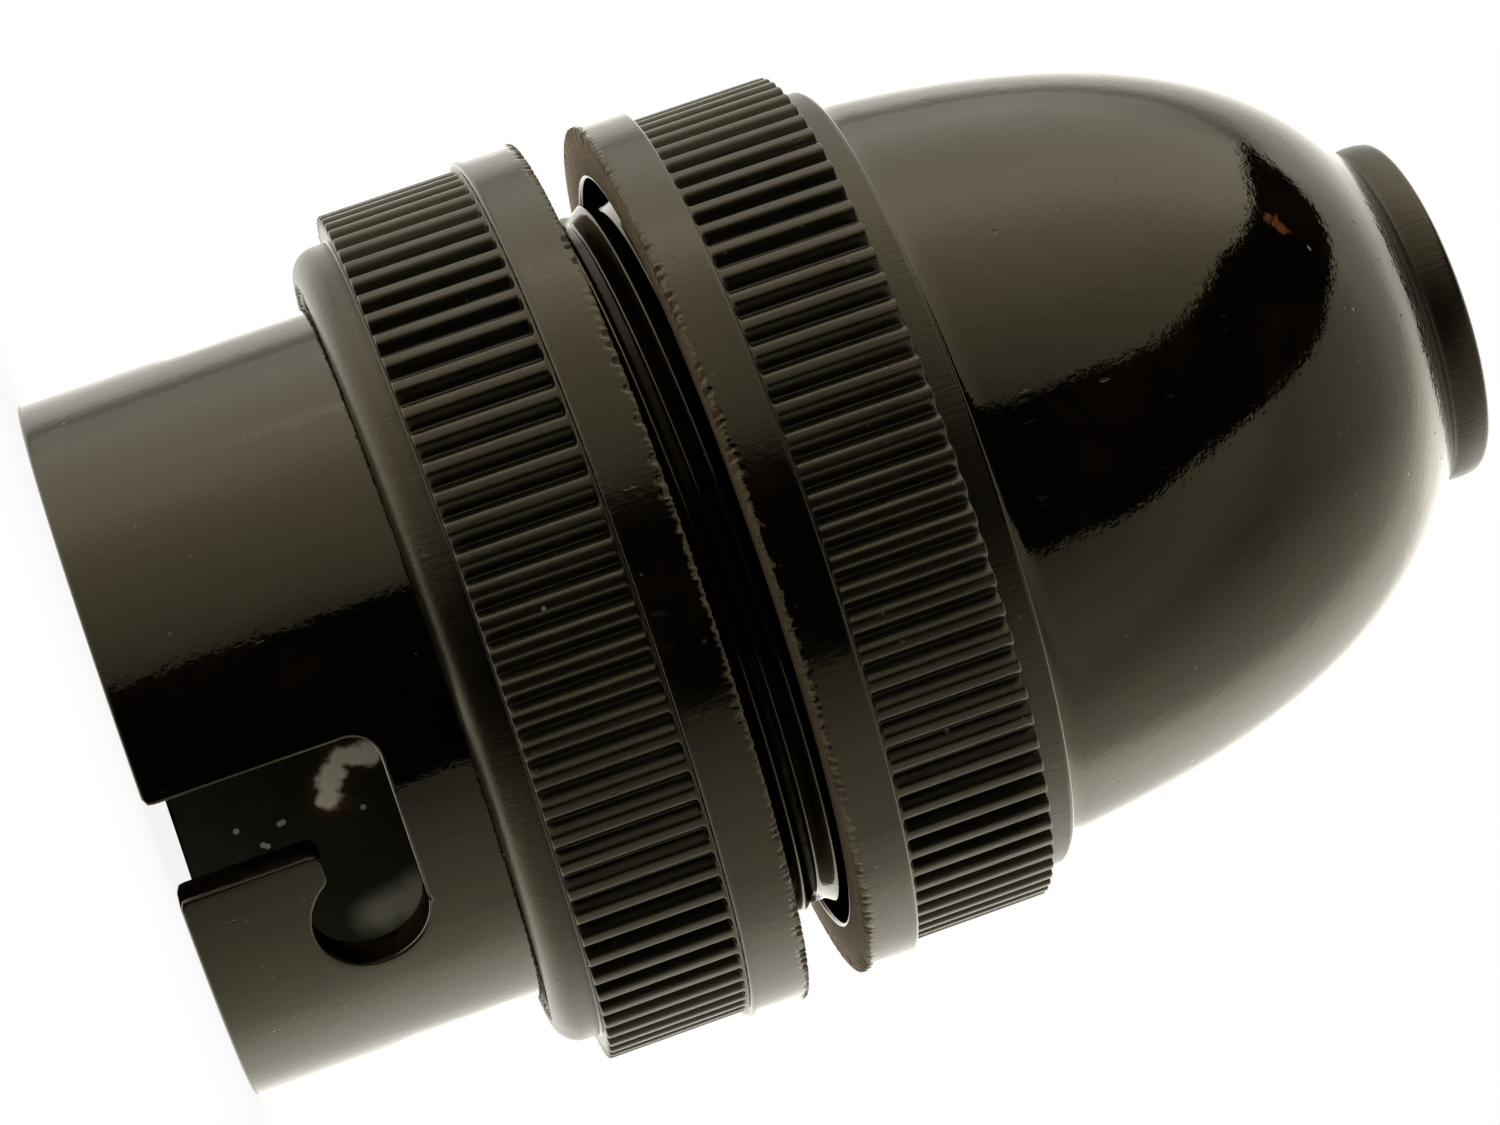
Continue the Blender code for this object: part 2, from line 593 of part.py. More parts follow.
def main():
    """Clears the scene and builds every piece."""
    for old in list(bpy.data.objects):
        bpy.data.objects.remove(old, do_unlink=True)
    group = new_collection(COLLECTION_NAME)
    guides = new_collection(COLLECTION_NAME + "_guides")
    moulding = material("brown_moulding", (0.020, 0.012, 0.008), 0.25, 0.0)
    inner_moulding = material("inner_moulding", (0.030, 0.022, 0.016), 0.45, 0.0)
    brass = material("brass", (0.60, 0.42, 0.16), 0.30, 1.0)
    steel = material("spring_steel", (0.45, 0.45, 0.46), 0.35, 1.0)
    barrel(group, guides, moulding)
    shade_ring(group, guides, moulding)
    dome_cap(group, guides, moulding)
    plunger_carrier(group, guides, inner_moulding)
    terminal_bridge(group, guides, inner_moulding)
    for side, spot in contact_points().items():
        terminal_post(side, spot, group, guides, brass)
        plunger(side, spot, group, brass)
        plunger_spring(side, spot, group, steel)
        name = f"terminal_screw_{side}"
        head_foot = POST_TOP + GAP
        slotted_screw(
            name, spot, TERMINAL_SHANK_RADIUS, TERMINAL_SHANK_LENGTH, head_foot, group, guides, brass
        )
    for side, spot in bridge_screw_points().items():
        name = f"bridge_screw_{side}"
        head_foot = bridge_head_foot()
        slotted_screw(name, spot, BRIDGE_SCREW_RADIUS, BRIDGE_SCREW_LENGTH, head_foot, group, guides, steel)


main()
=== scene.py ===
import json
import math
from functools import partialmethod

import bmesh
import bpy
import numpy as np
from mathutils import Matrix, Vector

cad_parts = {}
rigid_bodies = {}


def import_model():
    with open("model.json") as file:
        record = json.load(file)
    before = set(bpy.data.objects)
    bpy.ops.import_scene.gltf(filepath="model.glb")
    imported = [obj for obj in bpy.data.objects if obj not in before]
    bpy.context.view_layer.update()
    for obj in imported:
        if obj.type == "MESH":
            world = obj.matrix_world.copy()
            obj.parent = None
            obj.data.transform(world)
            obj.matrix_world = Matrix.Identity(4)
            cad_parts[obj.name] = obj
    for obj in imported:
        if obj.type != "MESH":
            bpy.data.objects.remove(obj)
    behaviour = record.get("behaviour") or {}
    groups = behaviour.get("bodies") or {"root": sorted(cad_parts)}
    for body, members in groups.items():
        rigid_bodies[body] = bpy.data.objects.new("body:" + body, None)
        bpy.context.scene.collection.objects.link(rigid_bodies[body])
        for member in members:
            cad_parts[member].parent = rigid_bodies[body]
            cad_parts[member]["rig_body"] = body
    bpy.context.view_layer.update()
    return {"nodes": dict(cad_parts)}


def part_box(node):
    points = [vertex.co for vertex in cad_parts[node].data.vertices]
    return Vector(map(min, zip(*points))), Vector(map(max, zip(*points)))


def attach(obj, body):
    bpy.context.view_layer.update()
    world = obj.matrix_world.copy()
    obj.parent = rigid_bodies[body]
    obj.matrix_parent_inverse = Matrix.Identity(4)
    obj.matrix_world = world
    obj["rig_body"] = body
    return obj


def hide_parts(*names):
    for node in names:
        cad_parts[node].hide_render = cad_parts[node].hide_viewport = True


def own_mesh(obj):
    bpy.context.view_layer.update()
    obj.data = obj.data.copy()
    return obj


bl_info = {
    "name": "Bayonet lampholder",
    "version": (1, 0, 0),
    "blender": (4, 5, 0),
    "location": "View3D > Sidebar > Lampholder",
    "description": "Dresses the packed bayonet lampholder and sets its stage",
    "category": "Object",
}

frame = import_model()
BARREL_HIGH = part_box("bayonet_barrel")[1]
RING_LOW, RING_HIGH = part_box("shade_ring")
DOME_LOW, DOME_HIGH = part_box("dome_cap")

MM = 0.001
# Width and focal length of the photograph in its own pixels, and width of the sensor in mm
PHOTO_WIDTH, PHOTO_FOCAL, SENSOR = 1500, 4547.0, 36.0


# ---------------- settings

def length(name, about, size):
    """Length property, its default given in mm."""
    return bpy.props.FloatProperty(name=name, description=about, default=size * MM, unit="LENGTH")


def angle(name, about, degrees):
    """Angle property, its default given in degrees."""
    return bpy.props.FloatProperty(
        name=name, description=about, default=math.radians(degrees), subtype="ANGLE")


def colour(name, about, *shade):
    """Colour property."""
    return bpy.props.FloatVectorProperty(
        name=name, description=about, default=shade, subtype="COLOR", min=0.0, max=1.0)


def share(name, about, part):
    """Property from 0 to 1."""
    return bpy.props.FloatProperty(
        name=name, description=about, default=part, subtype="FACTOR", min=0.0, max=1.0)


class LampholderSizes(bpy.types.PropertyGroup):
    """Sizes of the mouldings that the frame does not give by itself."""

    barrel_radius: length("Barrel radius", "Outer radius of the plain skirt", 14.0)
    socket_radius: length("Socket radius", "Bore that the lamp cap enters", 11.7)
    seat_radius: length("Seat radius", "Bore above the ledge", 12.6)
    ledge_height: length("Ledge height", "Height of the ledge that the carrier sits on", 16.0)
    skirt_height: length("Skirt height", "Height at which the thread begins", 12.0)
    slot_angle: angle("Slot angle", "Side-core direction of the slots", 16.25)
    entry_width: length("Slot entry", "Width of the slot at the mouth", 3.73)
    leg_floor: length("Slot leg floor", "Lower side of the slot's leg", 5.3)
    leg_roof: length("Slot leg roof", "Upper side of the slot's leg", 8.5)
    hook_radius: length("Hook radius", "Radius of the round hook", 2.15)
    hook_reach: length("Hook reach", "From the entry's middle to the hook's centre", 4.97)
    slot_edge: length("Slot edge", "Rounding of the slot's and the mouth's edges", 0.17)
    thread_pitch: length("Thread pitch", "Rise of the neck's thread in a turn", 1.4)
    thread_crest: length("Thread crest", "Radius of the thread's round crest", 14.45)
    thread_root: length("Thread root", "Radius of the thread's root", 13.95)
    flat_radius: length("Thread flat", "Radius of the flats at the parting lines", 14.15)
    flat_reach: angle("Flat reach", "Half angle of the flats", 6.0)
    notch_width: length("Rim notch width", "Notches that the bridge's lugs drop into", 4.6)
    notch_depth: length("Rim notch depth", "Depth of the rim notches", 2.7)
    rib_count: bpy.props.IntProperty(name="Ribs", description="Ribs round each grip", default=90, min=12)
    ring_phase: angle("Ring turn", "Turn of the ring's ribs", -0.27)
    dome_phase: angle("Dome turn", "Turn of the dome's ribs", -1.34)
    rib_height: length("Groove depth", "Depth of a groove between two ribs", 0.46)
    chip_depth: length("Chip depth", "Deepest chip in the filed edges", 0.22)


class LampholderFinish(bpy.types.PropertyGroup):
    """Colours and gloss of the finishes."""

    moulding: colour("Moulding", "Dark brown of the resin", 0.0030, 0.0017, 0.0009)
    mottle: colour("Mottle", "Lighter clouds in the resin", 0.0085, 0.0052, 0.0026)
    filed: colour("Filed resin", "Brown filler where the skin is filed or chipped off", 0.260, 0.195, 0.115)
    # Orange mark on the dome; the same colour also paints the brown fringe round the painted lit patch in the
    # bore
    orange_mark_and_painted_fringe: colour("Filler spot", "Orange filler grains at the skin", 0.16, 0.060, 0.022)
    # Colour of the dust specks and of the pale flecks in the bore; in the bore the same name also carries the
    # mask of a painted grey sheen
    dust_and_painted_sheen: colour("Dust", "Dust specks", 0.42, 0.40, 0.37)
    inner_moulding: colour("Inner moulding", "Matt resin of the inner pieces", 0.022, 0.015, 0.011)
    brass: colour("Brass", "Brass of the contacts", 0.60, 0.42, 0.17)
    tarnish: colour("Tarnish", "Brown film on the brass", 0.28, 0.17, 0.07)
    steel: colour("Steel", "Springs and bridge screws", 0.48, 0.47, 0.45)
    polish: share("Polish", "Roughness of the polished skin", 0.055)
    satin: share("Satin", "Roughness of the matt places", 0.45)


class LampholderStage(bpy.types.PropertyGroup):
    """Camera and floor."""

    camera_place: bpy.props.FloatVectorProperty(
        name="Camera", description="Camera's place", default=(0.872 * MM, -176.454 * MM, 5.812 * MM),
        subtype="TRANSLATION", unit="LENGTH")
    tilt: angle("Tilt", "Upward tilt of the view", 6.127)
    roll: angle("Roll", "Turn of the picture about the view", 19.161)
    floor_size: length("Floor", "Radius of the floor", 2500.0)


# ---------------- meshes from arrays

def put_object(name, data):
    """New object of the scene at the origin."""
    made = bpy.data.objects.new(name, data)
    bpy.context.scene.collection.objects.link(made)
    return made


def put_mesh(name, points, quads, tris=None, **layers):
    """New object at the origin from an array of points, quads and triangles, with float layers by point."""
    mesh = bpy.data.meshes.new(name)
    points = np.asarray(points, float).reshape(-1, 3)
    tris = np.zeros((0, 3), int) if tris is None else np.asarray(tris).reshape(-1, 3)
    corners = np.concatenate([np.asarray(quads).reshape(-1), tris.reshape(-1)]).astype(np.int32)
    totals = np.concatenate([np.full(len(quads), 4), np.full(len(tris), 3)]).astype(np.int32)
    starts = (np.cumsum(totals) - totals).astype(np.int32)
    mesh.vertices.add(len(points))
    mesh.vertices.foreach_set("co", points.ravel())
    mesh.loops.add(len(corners))
    mesh.loops.foreach_set("vertex_index", corners)
    mesh.polygons.add(len(totals))
    mesh.polygons.foreach_set("loop_start", starts)
    mesh.polygons.foreach_set("use_smooth", np.ones(len(totals), bool))
    mesh.update(calc_edges=True)
    if mesh.validate():
        raise RuntimeError(f"{name}: the mesh had faults")
    for label, values in layers.items():
        made = mesh.attributes.new(label, "FLOAT", "POINT")
        made.data.foreach_set("value", np.asarray(values, np.float32).ravel())
    return put_object(name, mesh)


def turn_points(around, radius, height):
    """Point at an angle from the front (-Y) toward +X: (r sin a, -r cos a, z)."""
    return np.stack(np.broadcast_arrays(radius * np.sin(around), -radius * np.cos(around), height), -1)


def loop_faces(rows, cols):
    """Quads of a grid that closes on itself both ways: cell (i, j) joins rows i, i+1 and columns j, j+1."""
    i = np.arange(rows)[:, None] * cols
    up = (np.arange(rows)[:, None] + 1) % rows * cols
    j = np.arange(cols)
    on = (j + 1) % cols
    return np.stack([i + j, i + on, up + on, up + j], -1).reshape(-1, 4)


def tube_faces(rows, cols):
    """Quads of a grid that closes on itself only round the axis."""
    return loop_faces(rows, cols)[:(rows - 1) * cols]


def fan_faces(hub, ring, cols):
    """Triangles from a hub's index to each side of a ring, given the index of the ring's first point."""
    j = np.arange(cols)
    return np.stack([np.full(cols, hub), ring + j, ring + (j + 1) % cols], -1)


def profile_rows(r, z, run=-1.0, satin=0.0, worn=0.0, edge=0.0):
    """Profile rows: radius and height in mm, groove run, satin, worn and edge.

    A run below zero means that the row lies outside the grip."""
    return np.stack(np.broadcast_arrays(r, z, run, satin, worn, edge), -1)


def line_rows(start, end, count, **layers):
    """Evenly spaced rows on a straight run of the profile, both ends included."""
    t = np.linspace(0.0, 1.0, count)
    return profile_rows(start[0] + (end[0] - start[0]) * t, start[1] + (end[1] - start[1]) * t, **layers)


def one_row(r, z, **layers):
    """Single row of the profile."""
    return profile_rows(np.array([r]), z, **layers)


def arc_rows(centre, radius, start, end, count, **layers):
    """Rows on an arc of the profile, angles in degrees from the outward direction."""
    t = np.radians(np.linspace(start, end, count))
    return profile_rows(centre[0] + radius * np.cos(t), centre[1] + radius * np.sin(t), **layers)


# Places across one pitch, measured from a rib's crest
RIB_SHARES = np.arange(-8, 8) / 16.0
# Length over which a groove closes at its blind end, and distances of profile rows from that end, in mm
GROOVE_END = 0.16
GROOVE_RUNS = np.array([0.0, 0.02, 0.05, 0.08, 0.12, 0.16, 0.24])
# Half width of a groove, in shares of the pitch, and softness of its upper edge
GROOVE_HALF, GROOVE_SOFT = 0.32, 0.14
# Heights below a rib's open end at which its crest is eased, and by how much, in mm
EASED_AT, EASED_BY = (0.02, 0.0), (0.03, 0.09)
# How far a chip lowers an edge for each part that it cuts in, and how strongly its wear shows
CHIP_SLOPE, CHIP_WEAR = 0.8, 0.3
# Counts of the waves, round the whole edge, that make the chips' tooth, bites and slow change
TOOTH_WAVES, BITE_WAVES, SLOW_WAVES = (200, 520), (60, 330), (3, 25)


def rib_columns(count, phase):
    """Angles round the grip, and how far each lies from the middle of its groove, in shares of the pitch."""
    angles = ((np.arange(count)[:, None] + RIB_SHARES) * math.tau / count).ravel() + phase
    return angles, np.tile(0.5 - np.abs(RIB_SHARES), count)


def groove_depth(across, run):
    """Depth from 0 to 1 of a sharp groove with straight sides: it falls evenly from the groove's middle to
    its half width and is eased into the rib's crest on a hyperbola.

    At the groove's blind end the distance from its middle grows with what the run lacks, so the end is
    round."""
    lacking = 0.5 * np.clip(1.0 - run / GROOVE_END, 0.0, 1.0)
    fall = 1.0 - np.clip(np.hypot(across, lacking), 0.0, 0.5) / GROOVE_HALF
    return 0.5 * (fall + np.hypot(fall, GROOVE_SOFT))


def grip_rows(crest, blind, open_end, satin):
    """Rows of a ribbed grip, lowest first: each carries its distance from the grooves' blind end as its run,
    and the ribs are eased at their open end."""
    span = abs(open_end - blind)
    middle = np.linspace(GROOVE_RUNS[-1], span - 0.08, 5)[1:]
    run = np.concatenate([GROOVE_RUNS, middle, span - np.array(EASED_AT)])
    r = np.full(len(run), crest)
    r[-2:] -= EASED_BY
    rows = profile_rows(r, blind + math.copysign(1.0, open_end - blind) * run, run, satin)
    return rows if open_end > blind else rows[::-1]


def ragged(angles, seed, coarse, fine):
    """Seeded roughness round a circle: waves of many counts with random phases, about -1 to 1."""
    rng = np.random.default_rng(seed)
    counts = np.arange(coarse, fine)
    phase = rng.uniform(0.0, math.tau, len(counts))
    size = rng.normal(0.0, 1.0, len(counts))
    waves = (size[:, None] * np.sin(counts[:, None] * angles + phase[:, None])).sum(0)
    return waves / (np.std(waves) * 2.0)


def chip_depths(angles, seed, depth):
    """Chips round a filed edge: a fine tooth everywhere, and steep bites where a finer wave passes a level,
    deeper where a slow wave is high."""
    tooth = np.clip(ragged(angles, seed, *TOOTH_WAVES), 0.0, 1.0)
    bite = np.clip((ragged(angles, seed + 1, *BITE_WAVES) - 0.3) / 0.15, 0.0, 1.0)
    slow = np.clip(0.5 + ragged(angles, seed + 2, *SLOW_WAVES), 0.0, 1.0)
    return depth * (0.25 * tooth + 0.75 * bite * slow)


def ribbed_turning(name, rows, angles, across, depth, chips):
    """Turned moulding: each profile row runs round the axis at its radius less the groove's depth, and rows
    marked as filed edges fall back toward the body by the chip depth at that angle. The profile closes on
    itself."""
    r, z, run, satin, worn, edge = (rows[:, k, None] for k in range(6))
    sunk = np.where(run >= 0.0, groove_depth(across, run), 0.0)
    radius = r * MM - depth * sunk - np.abs(edge) * chips
    height = z * MM + edge * chips * CHIP_SLOPE
    points = turn_points(angles, radius, height)
    flat = np.ones((1, len(angles)))
    chipped = np.clip(chips / max(chips.max(), 1e-9) * 1.6, 0.0, 1.0)
    return put_mesh(
        name, points, loop_faces(len(rows), len(angles)),
        satin=satin * flat, worn=np.clip(worn + CHIP_WEAR * np.abs(edge) * chipped, 0.0, 1.0))


# ---------------- barrel

# Finer part of the skirt round each slot: its angles and steps in degrees, its height and steps in mm, and
# the rows above it; then the angles at which the rounding of the slot's edge is stepped
FINE_START, FINE_END, FINE_TURN, PLAIN_TURN = -14.0, 36.0, 0.5, 2.0
FINE_TOP, FINE_RISE, PLAIN_ROWS = 9.4, 0.12, 8
EDGE_ANGLES = np.radians([18.0, 36.0, 54.0, 72.0, 90.0])
# Roundings of the slot: tips of the hook's tongue, corners at the mouth, inner corner of the entry
TIP_ROUND, MOUTH_ROUND, CORNER_ROUND = 0.45 * MM, 0.3 * MM, 1.1 * MM


def corner_round(distance, s, z, centre, first, second, radius, hollow):
    """Replaces a distance by that to an arc, within the wedge that two directions span at its centre."""
    ps, pz = s - centre[0], z - centre[1]
    det = first[0] * second[1] - first[1] * second[0]
    a = (ps * second[1] - pz * second[0]) / det
    b = (first[0] * pz - first[1] * ps) / det
    span = np.hypot(ps, pz)
    here = (a >= 0.0) & (b >= 0.0)
    if hollow:
        return np.where(here, span - radius, distance)
    return np.where(here & (span < 1.5 * radius), radius - span, distance)


def slot_distance(s, z, size):
    """Signed distance, positive in the wall, to the space below the mouth joined with the J slot.

    The slot is an entry, a leg and a round hook; s runs across the side-core's direction, z up."""
    half = size.entry_width / 2
    tip, lip, corner = TIP_ROUND, MOUTH_ROUND, CORNER_ROUND
    hook_z = size.leg_roof - size.hook_radius
    entry = np.maximum(np.abs(s) - half, z - size.leg_roof)
    leg = np.maximum(np.maximum(-s, s - size.hook_reach), np.maximum(size.leg_floor - z, z - size.leg_roof))
    hook = np.hypot(s - size.hook_reach, z - hook_z) - size.hook_radius
    made = np.minimum(np.minimum(entry, leg), np.minimum(hook, z))
    bend = size.hook_radius + tip
    drop = hook_z - (size.leg_floor - tip)
    tip_s = size.hook_reach - math.sqrt(bend * bend - drop * drop)
    toward = ((size.hook_reach - tip_s) / bend, drop / bend)
    left, right, up, down = (-1.0, 0.0), (1.0, 0.0), (0.0, 1.0), (0.0, -1.0)
    for centre, first, second, radius, hollow in (
            ((-half + corner, size.leg_roof - corner), left, up, corner, True),
            ((half + tip, size.leg_floor - tip), left, up, tip, False),
            ((tip_s, size.leg_floor - tip), up, toward, tip, False),
            ((half + lip, lip), left, down, lip, False),
            ((-half - lip, lip), right, down, lip, False)):
        made = corner_round(made, s, z, centre, first, second, radius, hollow)
    return made


def drawn_border(s, z, size):
    """Points drawn onto the edge rounding's distance from the slot, by Newton steps along the slope of the
    slot distance, and that slope."""
    step = 0.002 * MM
    for _ in range(5):
        gap = slot_distance(s, z, size) - size.slot_edge
        gs = (slot_distance(s + step, z, size) - slot_distance(s - step, z, size)) / (2 * step)
        gz = (slot_distance(s, z + step, size) - slot_distance(s, z - step, size)) / (2 * step)
        norm = np.maximum(np.hypot(gs, gz), 1e-6)
        gs, gz = gs / norm, gz / norm
        s, z = s - gap * gs, z - gap * gz
    return s, z, gs, gz


def spread_angle(turn, outer, radius):
    """Angle at a smaller radius of a point that lies at an angle on the outer wall, straight along the core.

    r sin(b) = R sin(a) near the slot, then an even run to a quarter turn."""
    knee = math.radians(45.0)
    size = np.abs(turn)
    near = np.arcsin(np.clip(outer * np.sin(np.minimum(size, knee)) / radius, -1.0, 1.0))
    far = np.maximum(size - knee, 0.0) / (math.pi / 2 - knee)
    return np.sign(turn) * (near + far * (math.pi / 2 - np.arcsin(outer * math.sin(knee) / radius)))


def barrel_skirt(size):
    """Slotted skirt: a sheet in (angle, height) is kept where the slot distance is past the edge rounding.

    Its free border is drawn onto that distance, and is then carried through the wall on a profile of quarter
    round, straight run and quarter round to the same sheet at the bore."""
    outer, inner, edge = size.barrel_radius, size.socket_radius, size.slot_edge

    def core_angle(across):
        return np.arcsin(np.clip(across / outer, -1, 1))

    half_turn = np.radians(np.concatenate([
        np.arange(-90.0, FINE_START, PLAIN_TURN), np.arange(FINE_START, FINE_END, FINE_TURN),
        np.arange(FINE_END, 90.0, PLAIN_TURN)]))
    base = np.concatenate([half_turn, half_turn + math.pi])
    tilt = np.concatenate([half_turn, half_turn])
    heights = MM * np.concatenate([
        np.arange(0.0, FINE_TOP, FINE_RISE), np.linspace(FINE_TOP, size.skirt_height / MM, PLAIN_ROWS)])
    cols, rows = len(base), len(heights)
    turn = np.tile(tilt, rows)
    axis = np.tile(base - tilt, rows)
    z = np.repeat(heights, cols)
    s = outer * np.sin(turn)
    kept = slot_distance(s, z, size) >= edge
    cells = tube_faces(rows, cols)
    cells = cells[kept[cells].all(1)]
    # Border: directed sides of kept cells with no partner, apart from the top row
    side = np.stack([cells, np.roll(cells, -1, 1)], -1).reshape(-1, 2)
    count = rows * cols
    free = ~np.isin(side[:, 0] * count + side[:, 1], side[:, 1] * count + side[:, 0])
    top = (side >= (rows - 1) * cols).all(1)
    border, crown = side[free & ~top], side[free & top]
    rim = np.unique(border)
    bs, bz, gs, gz = drawn_border(s[rim], z[rim], size)
    turn[rim] += core_angle(bs) - core_angle(s[rim])
    z[rim] = bz
    used = np.unique(cells)
    place = np.full(count, -1)
    place[used] = np.arange(len(used))
    axis = axis + size.slot_angle
    sheet_out = turn_points(turn[used] + axis[used], outer, z[used])
    sheet_in = turn_points(spread_angle(turn[used], outer, inner) + axis[used], inner, z[used])
    # Rings of the border's profile: move toward the slot wall, and depth in the wall
    move = edge * np.sin(EDGE_ANGLES)
    move = np.concatenate([move, move[::-1]])[:, None]
    deep = edge * (1 - np.cos(EDGE_ANGLES))
    depth = np.concatenate([deep, (outer - inner) - deep[::-1]])
    ring_s = bs - move * gs
    ring_z = bz - move * gz
    ring_turn = turn[rim] + core_angle(ring_s) - core_angle(bs)
    ring_r = (outer - depth)[:, None]
    rings = turn_points(spread_angle(ring_turn, outer, ring_r) + axis[rim], ring_r, ring_z)
    n = len(used)
    spot = np.full(count, -1)
    spot[rim] = np.arange(len(rim))
    levels = [place[rim]] + [2 * n + k * len(rim) + np.arange(len(rim)) for k in range(len(move))]
    levels = np.array(levels + [n + place[rim]])
    a, b = spot[border[:, 0]], spot[border[:, 1]]
    walls = np.stack([levels[:-1, b], levels[:-1, a], levels[1:, a], levels[1:, b]], -1).reshape(-1, 4)
    start, end = place[crown[:, 0]], place[crown[:, 1]]
    shut = np.stack([end, start, n + start, n + end], -1)
    faces = np.concatenate([place[cells], n + place[cells][:, ::-1], walls, shut])
    points = np.concatenate([sheet_out, sheet_in, rings.reshape(-1, 3)])
    wall = np.concatenate([np.zeros(2 * n), np.ones(rings.size // 3)])
    piece = put_mesh("barrel_skirt", points, faces, satin=0.6 * wall, worn=np.zeros(len(points)), wall=wall)
    # The round outer edge keeps the polish, the walls behind it and the bore are bare
    polished = np.arange(len(faces)) < len(cells)
    polished[2 * len(cells):2 * len(cells) + len(EDGE_ANGLES) * len(border)] = True
    piece.data.polygons.foreach_set("material_index", np.where(polished, 0, 1).astype(np.int32))
    return piece


def thread_radius(around, z, size):
    """Radius of the neck: a sharp wave, rounded at its crest and root, of (height - pitch x turns), flat at
    the two mould parting lines, and run out at the skirt and the rim."""
    sharp = 0.93
    turn = math.tau * (z / size.thread_pitch - around / math.tau - 0.5)
    wave = 0.5 + 0.5 * np.arcsin(sharp * np.cos(turn)) / math.asin(sharp)
    from_line = np.abs(around % math.pi - math.pi / 2)
    here = np.clip((from_line - size.flat_reach) / math.radians(2.0), 0.0, 1.0)
    fade = 0.5 * MM
    here = here * np.clip((z - size.skirt_height) / fade - 0.6, 0.0, 1.0)
    here = here * np.clip((BARREL_HIGH.z - z) / fade - 0.4, 0.0, 1.0)
    thread = size.thread_root + wave * (size.thread_crest - size.thread_root)
    return size.flat_radius + here * (thread - size.flat_radius)


def barrel_neck(size):
    """Threaded neck: outer rows run up to a rim whose height drops at two notches, then down the bore, over
    the ledge and back, closed both ways."""
    top, low = BARREL_HIGH.z, size.skirt_height
    reach = size.notch_width / 2 / size.flat_radius
    step = 0.002
    # Angle of a lamp pin at rest in the hook, where the notches are too
    lock = size.slot_angle + math.asin(size.hook_reach / size.barrel_radius)
    corners = lock + np.array([-reach - step, -reach, reach, reach + step])
    even = np.radians(np.arange(0.0, 360.0, 1.5))
    angles = np.unique(np.concatenate([even, corners % math.tau, (corners + math.pi) % math.tau]))
    off = np.abs((angles - lock + math.pi / 2) % math.pi - math.pi / 2)
    rim = top - size.notch_depth * (off < reach + step / 2)
    # Rows are closest in the gap between the ring and the dome, where the thread shows
    gap_low, gap_high = RING_HIGH.z - 0.8 * MM, DOME_LOW.z + 0.8 * MM
    close, wide = 0.035 * MM, 0.1 * MM
    levels = np.concatenate([
        np.arange(low, gap_low, wide), np.arange(gap_low, gap_high, close), np.arange(gap_high, top, wide),
        [top]])
    levels = levels[:, None]
    # Only the rows above the notches' floor follow the rim down
    floor = top - size.notch_depth - 0.5 * MM
    z_out = np.where(levels < floor, levels, floor + (levels - floor) * (rim - floor) / (top - floor))
    r_out = thread_radius(angles, z_out, size)
    r_out[-2:] -= np.array([[0.04], [0.16]]) * MM
    ledge = np.full(len(angles), size.ledge_height)
    z_seat = np.linspace(rim, ledge, 8)
    z_bore = np.linspace(ledge, np.full(len(angles), low), 3)
    height = np.concatenate([z_out, rim[None, :], z_seat, z_bore])
    radius = np.concatenate([
        r_out, r_out[-1:] - 0.2 * MM, np.full(z_seat.shape, size.seat_radius),
        np.full(z_bore.shape, size.socket_radius)])
    satin = np.full(radius.shape, 0.1)
    satin[len(z_out):] = 0.5
    return put_mesh(
        "barrel_neck", turn_points(angles, radius, height), loop_faces(*radius.shape),
        satin=satin, worn=np.zeros(radius.shape))


# ---------------- ring and dome

def ring_rows():
    """Profile of the shade ring, up its outer side and down its bore."""
    foot, top = RING_LOW.z / MM, RING_HIGH.z / MM
    grip, band = foot + 1.63, top - 2.33
    crest, bead, wide = 17.2, 16.17, 17.55
    return np.concatenate([
        line_rows((14.75, foot + 0.05), (14.95, foot + 0.01), 2, satin=0.6, worn=0.4, edge=0.1),
        line_rows((15.0, foot), (15.06, foot + 0.01), 2, satin=0.6, worn=0.3, edge=0.2),
        arc_rows((15.07, foot + 1.1), 1.1, -84, -2, 14, satin=0.7),
        line_rows((bead, foot + 1.15), (bead, grip - 0.1), 3, satin=0.7),
        arc_rows((bead + 0.06, grip - 0.06), 0.06, 180, 90, 3, satin=0.4),
        line_rows((bead + 0.14, grip), (crest - 0.6, grip), 2, satin=0.6),
        grip_rows(crest, band - 0.03, grip, 0.7),
        line_rows((crest + 0.06, band + 0.01), (wide - 0.2, band + 0.01), 2, satin=0.6),
        arc_rows((wide - 0.18, band + 0.19), 0.18, -85, 0, 5, satin=0.35),
        line_rows((wide, band + 0.3), (wide, top - 0.5), 3, satin=0.22),
        one_row(wide, top - 0.3, satin=0.22, worn=0.08),
        one_row(wide, top - 0.2, satin=0.22, worn=0.2, edge=-0.3),
        line_rows((wide - 0.01, top - 0.08), (wide - 0.05, top), 2, satin=0.6, worn=0.4, edge=-1.0),
        line_rows((wide - 0.55, top), (15.2, top), 5, satin=1.0, worn=0.9),
        line_rows((14.75, top - 0.45), (14.75, foot + 0.3), 4, satin=0.6),
    ])


# Height of the dome's ribbed foot, radius of the step above it and of its bore, and its rows in the bore
GRIP_HEIGHT, SHOULDER, DOME_BORE, BORE_ROWS = 7.72, 15.9, 14.75, 8
# Superellipse of the dome's outer side: radius and height of its quarter, height of its foot, and power
CROWN_RADIUS, CROWN_RISE, CROWN_FOOT, CROWN_POWER = 15.456, 30.046, 22.746, 2.726
# Heights at which the crown runs on as a cone and the cone ends, how fast it closes, and its end's fillet
CONE_FOOT, CONE_TOP, CONE_SLOPE, CONE_FILLET = 50.45, 51.74, 1.25, 0.25
# Middle and radius of the lip's bulge, radius of the cord entry, and thickness of the dome's wall
LIP_MIDDLE, LIP_BULGE, ENTRY, WALL = (4.706, 52.528), 2.2, 5.0, 2.2


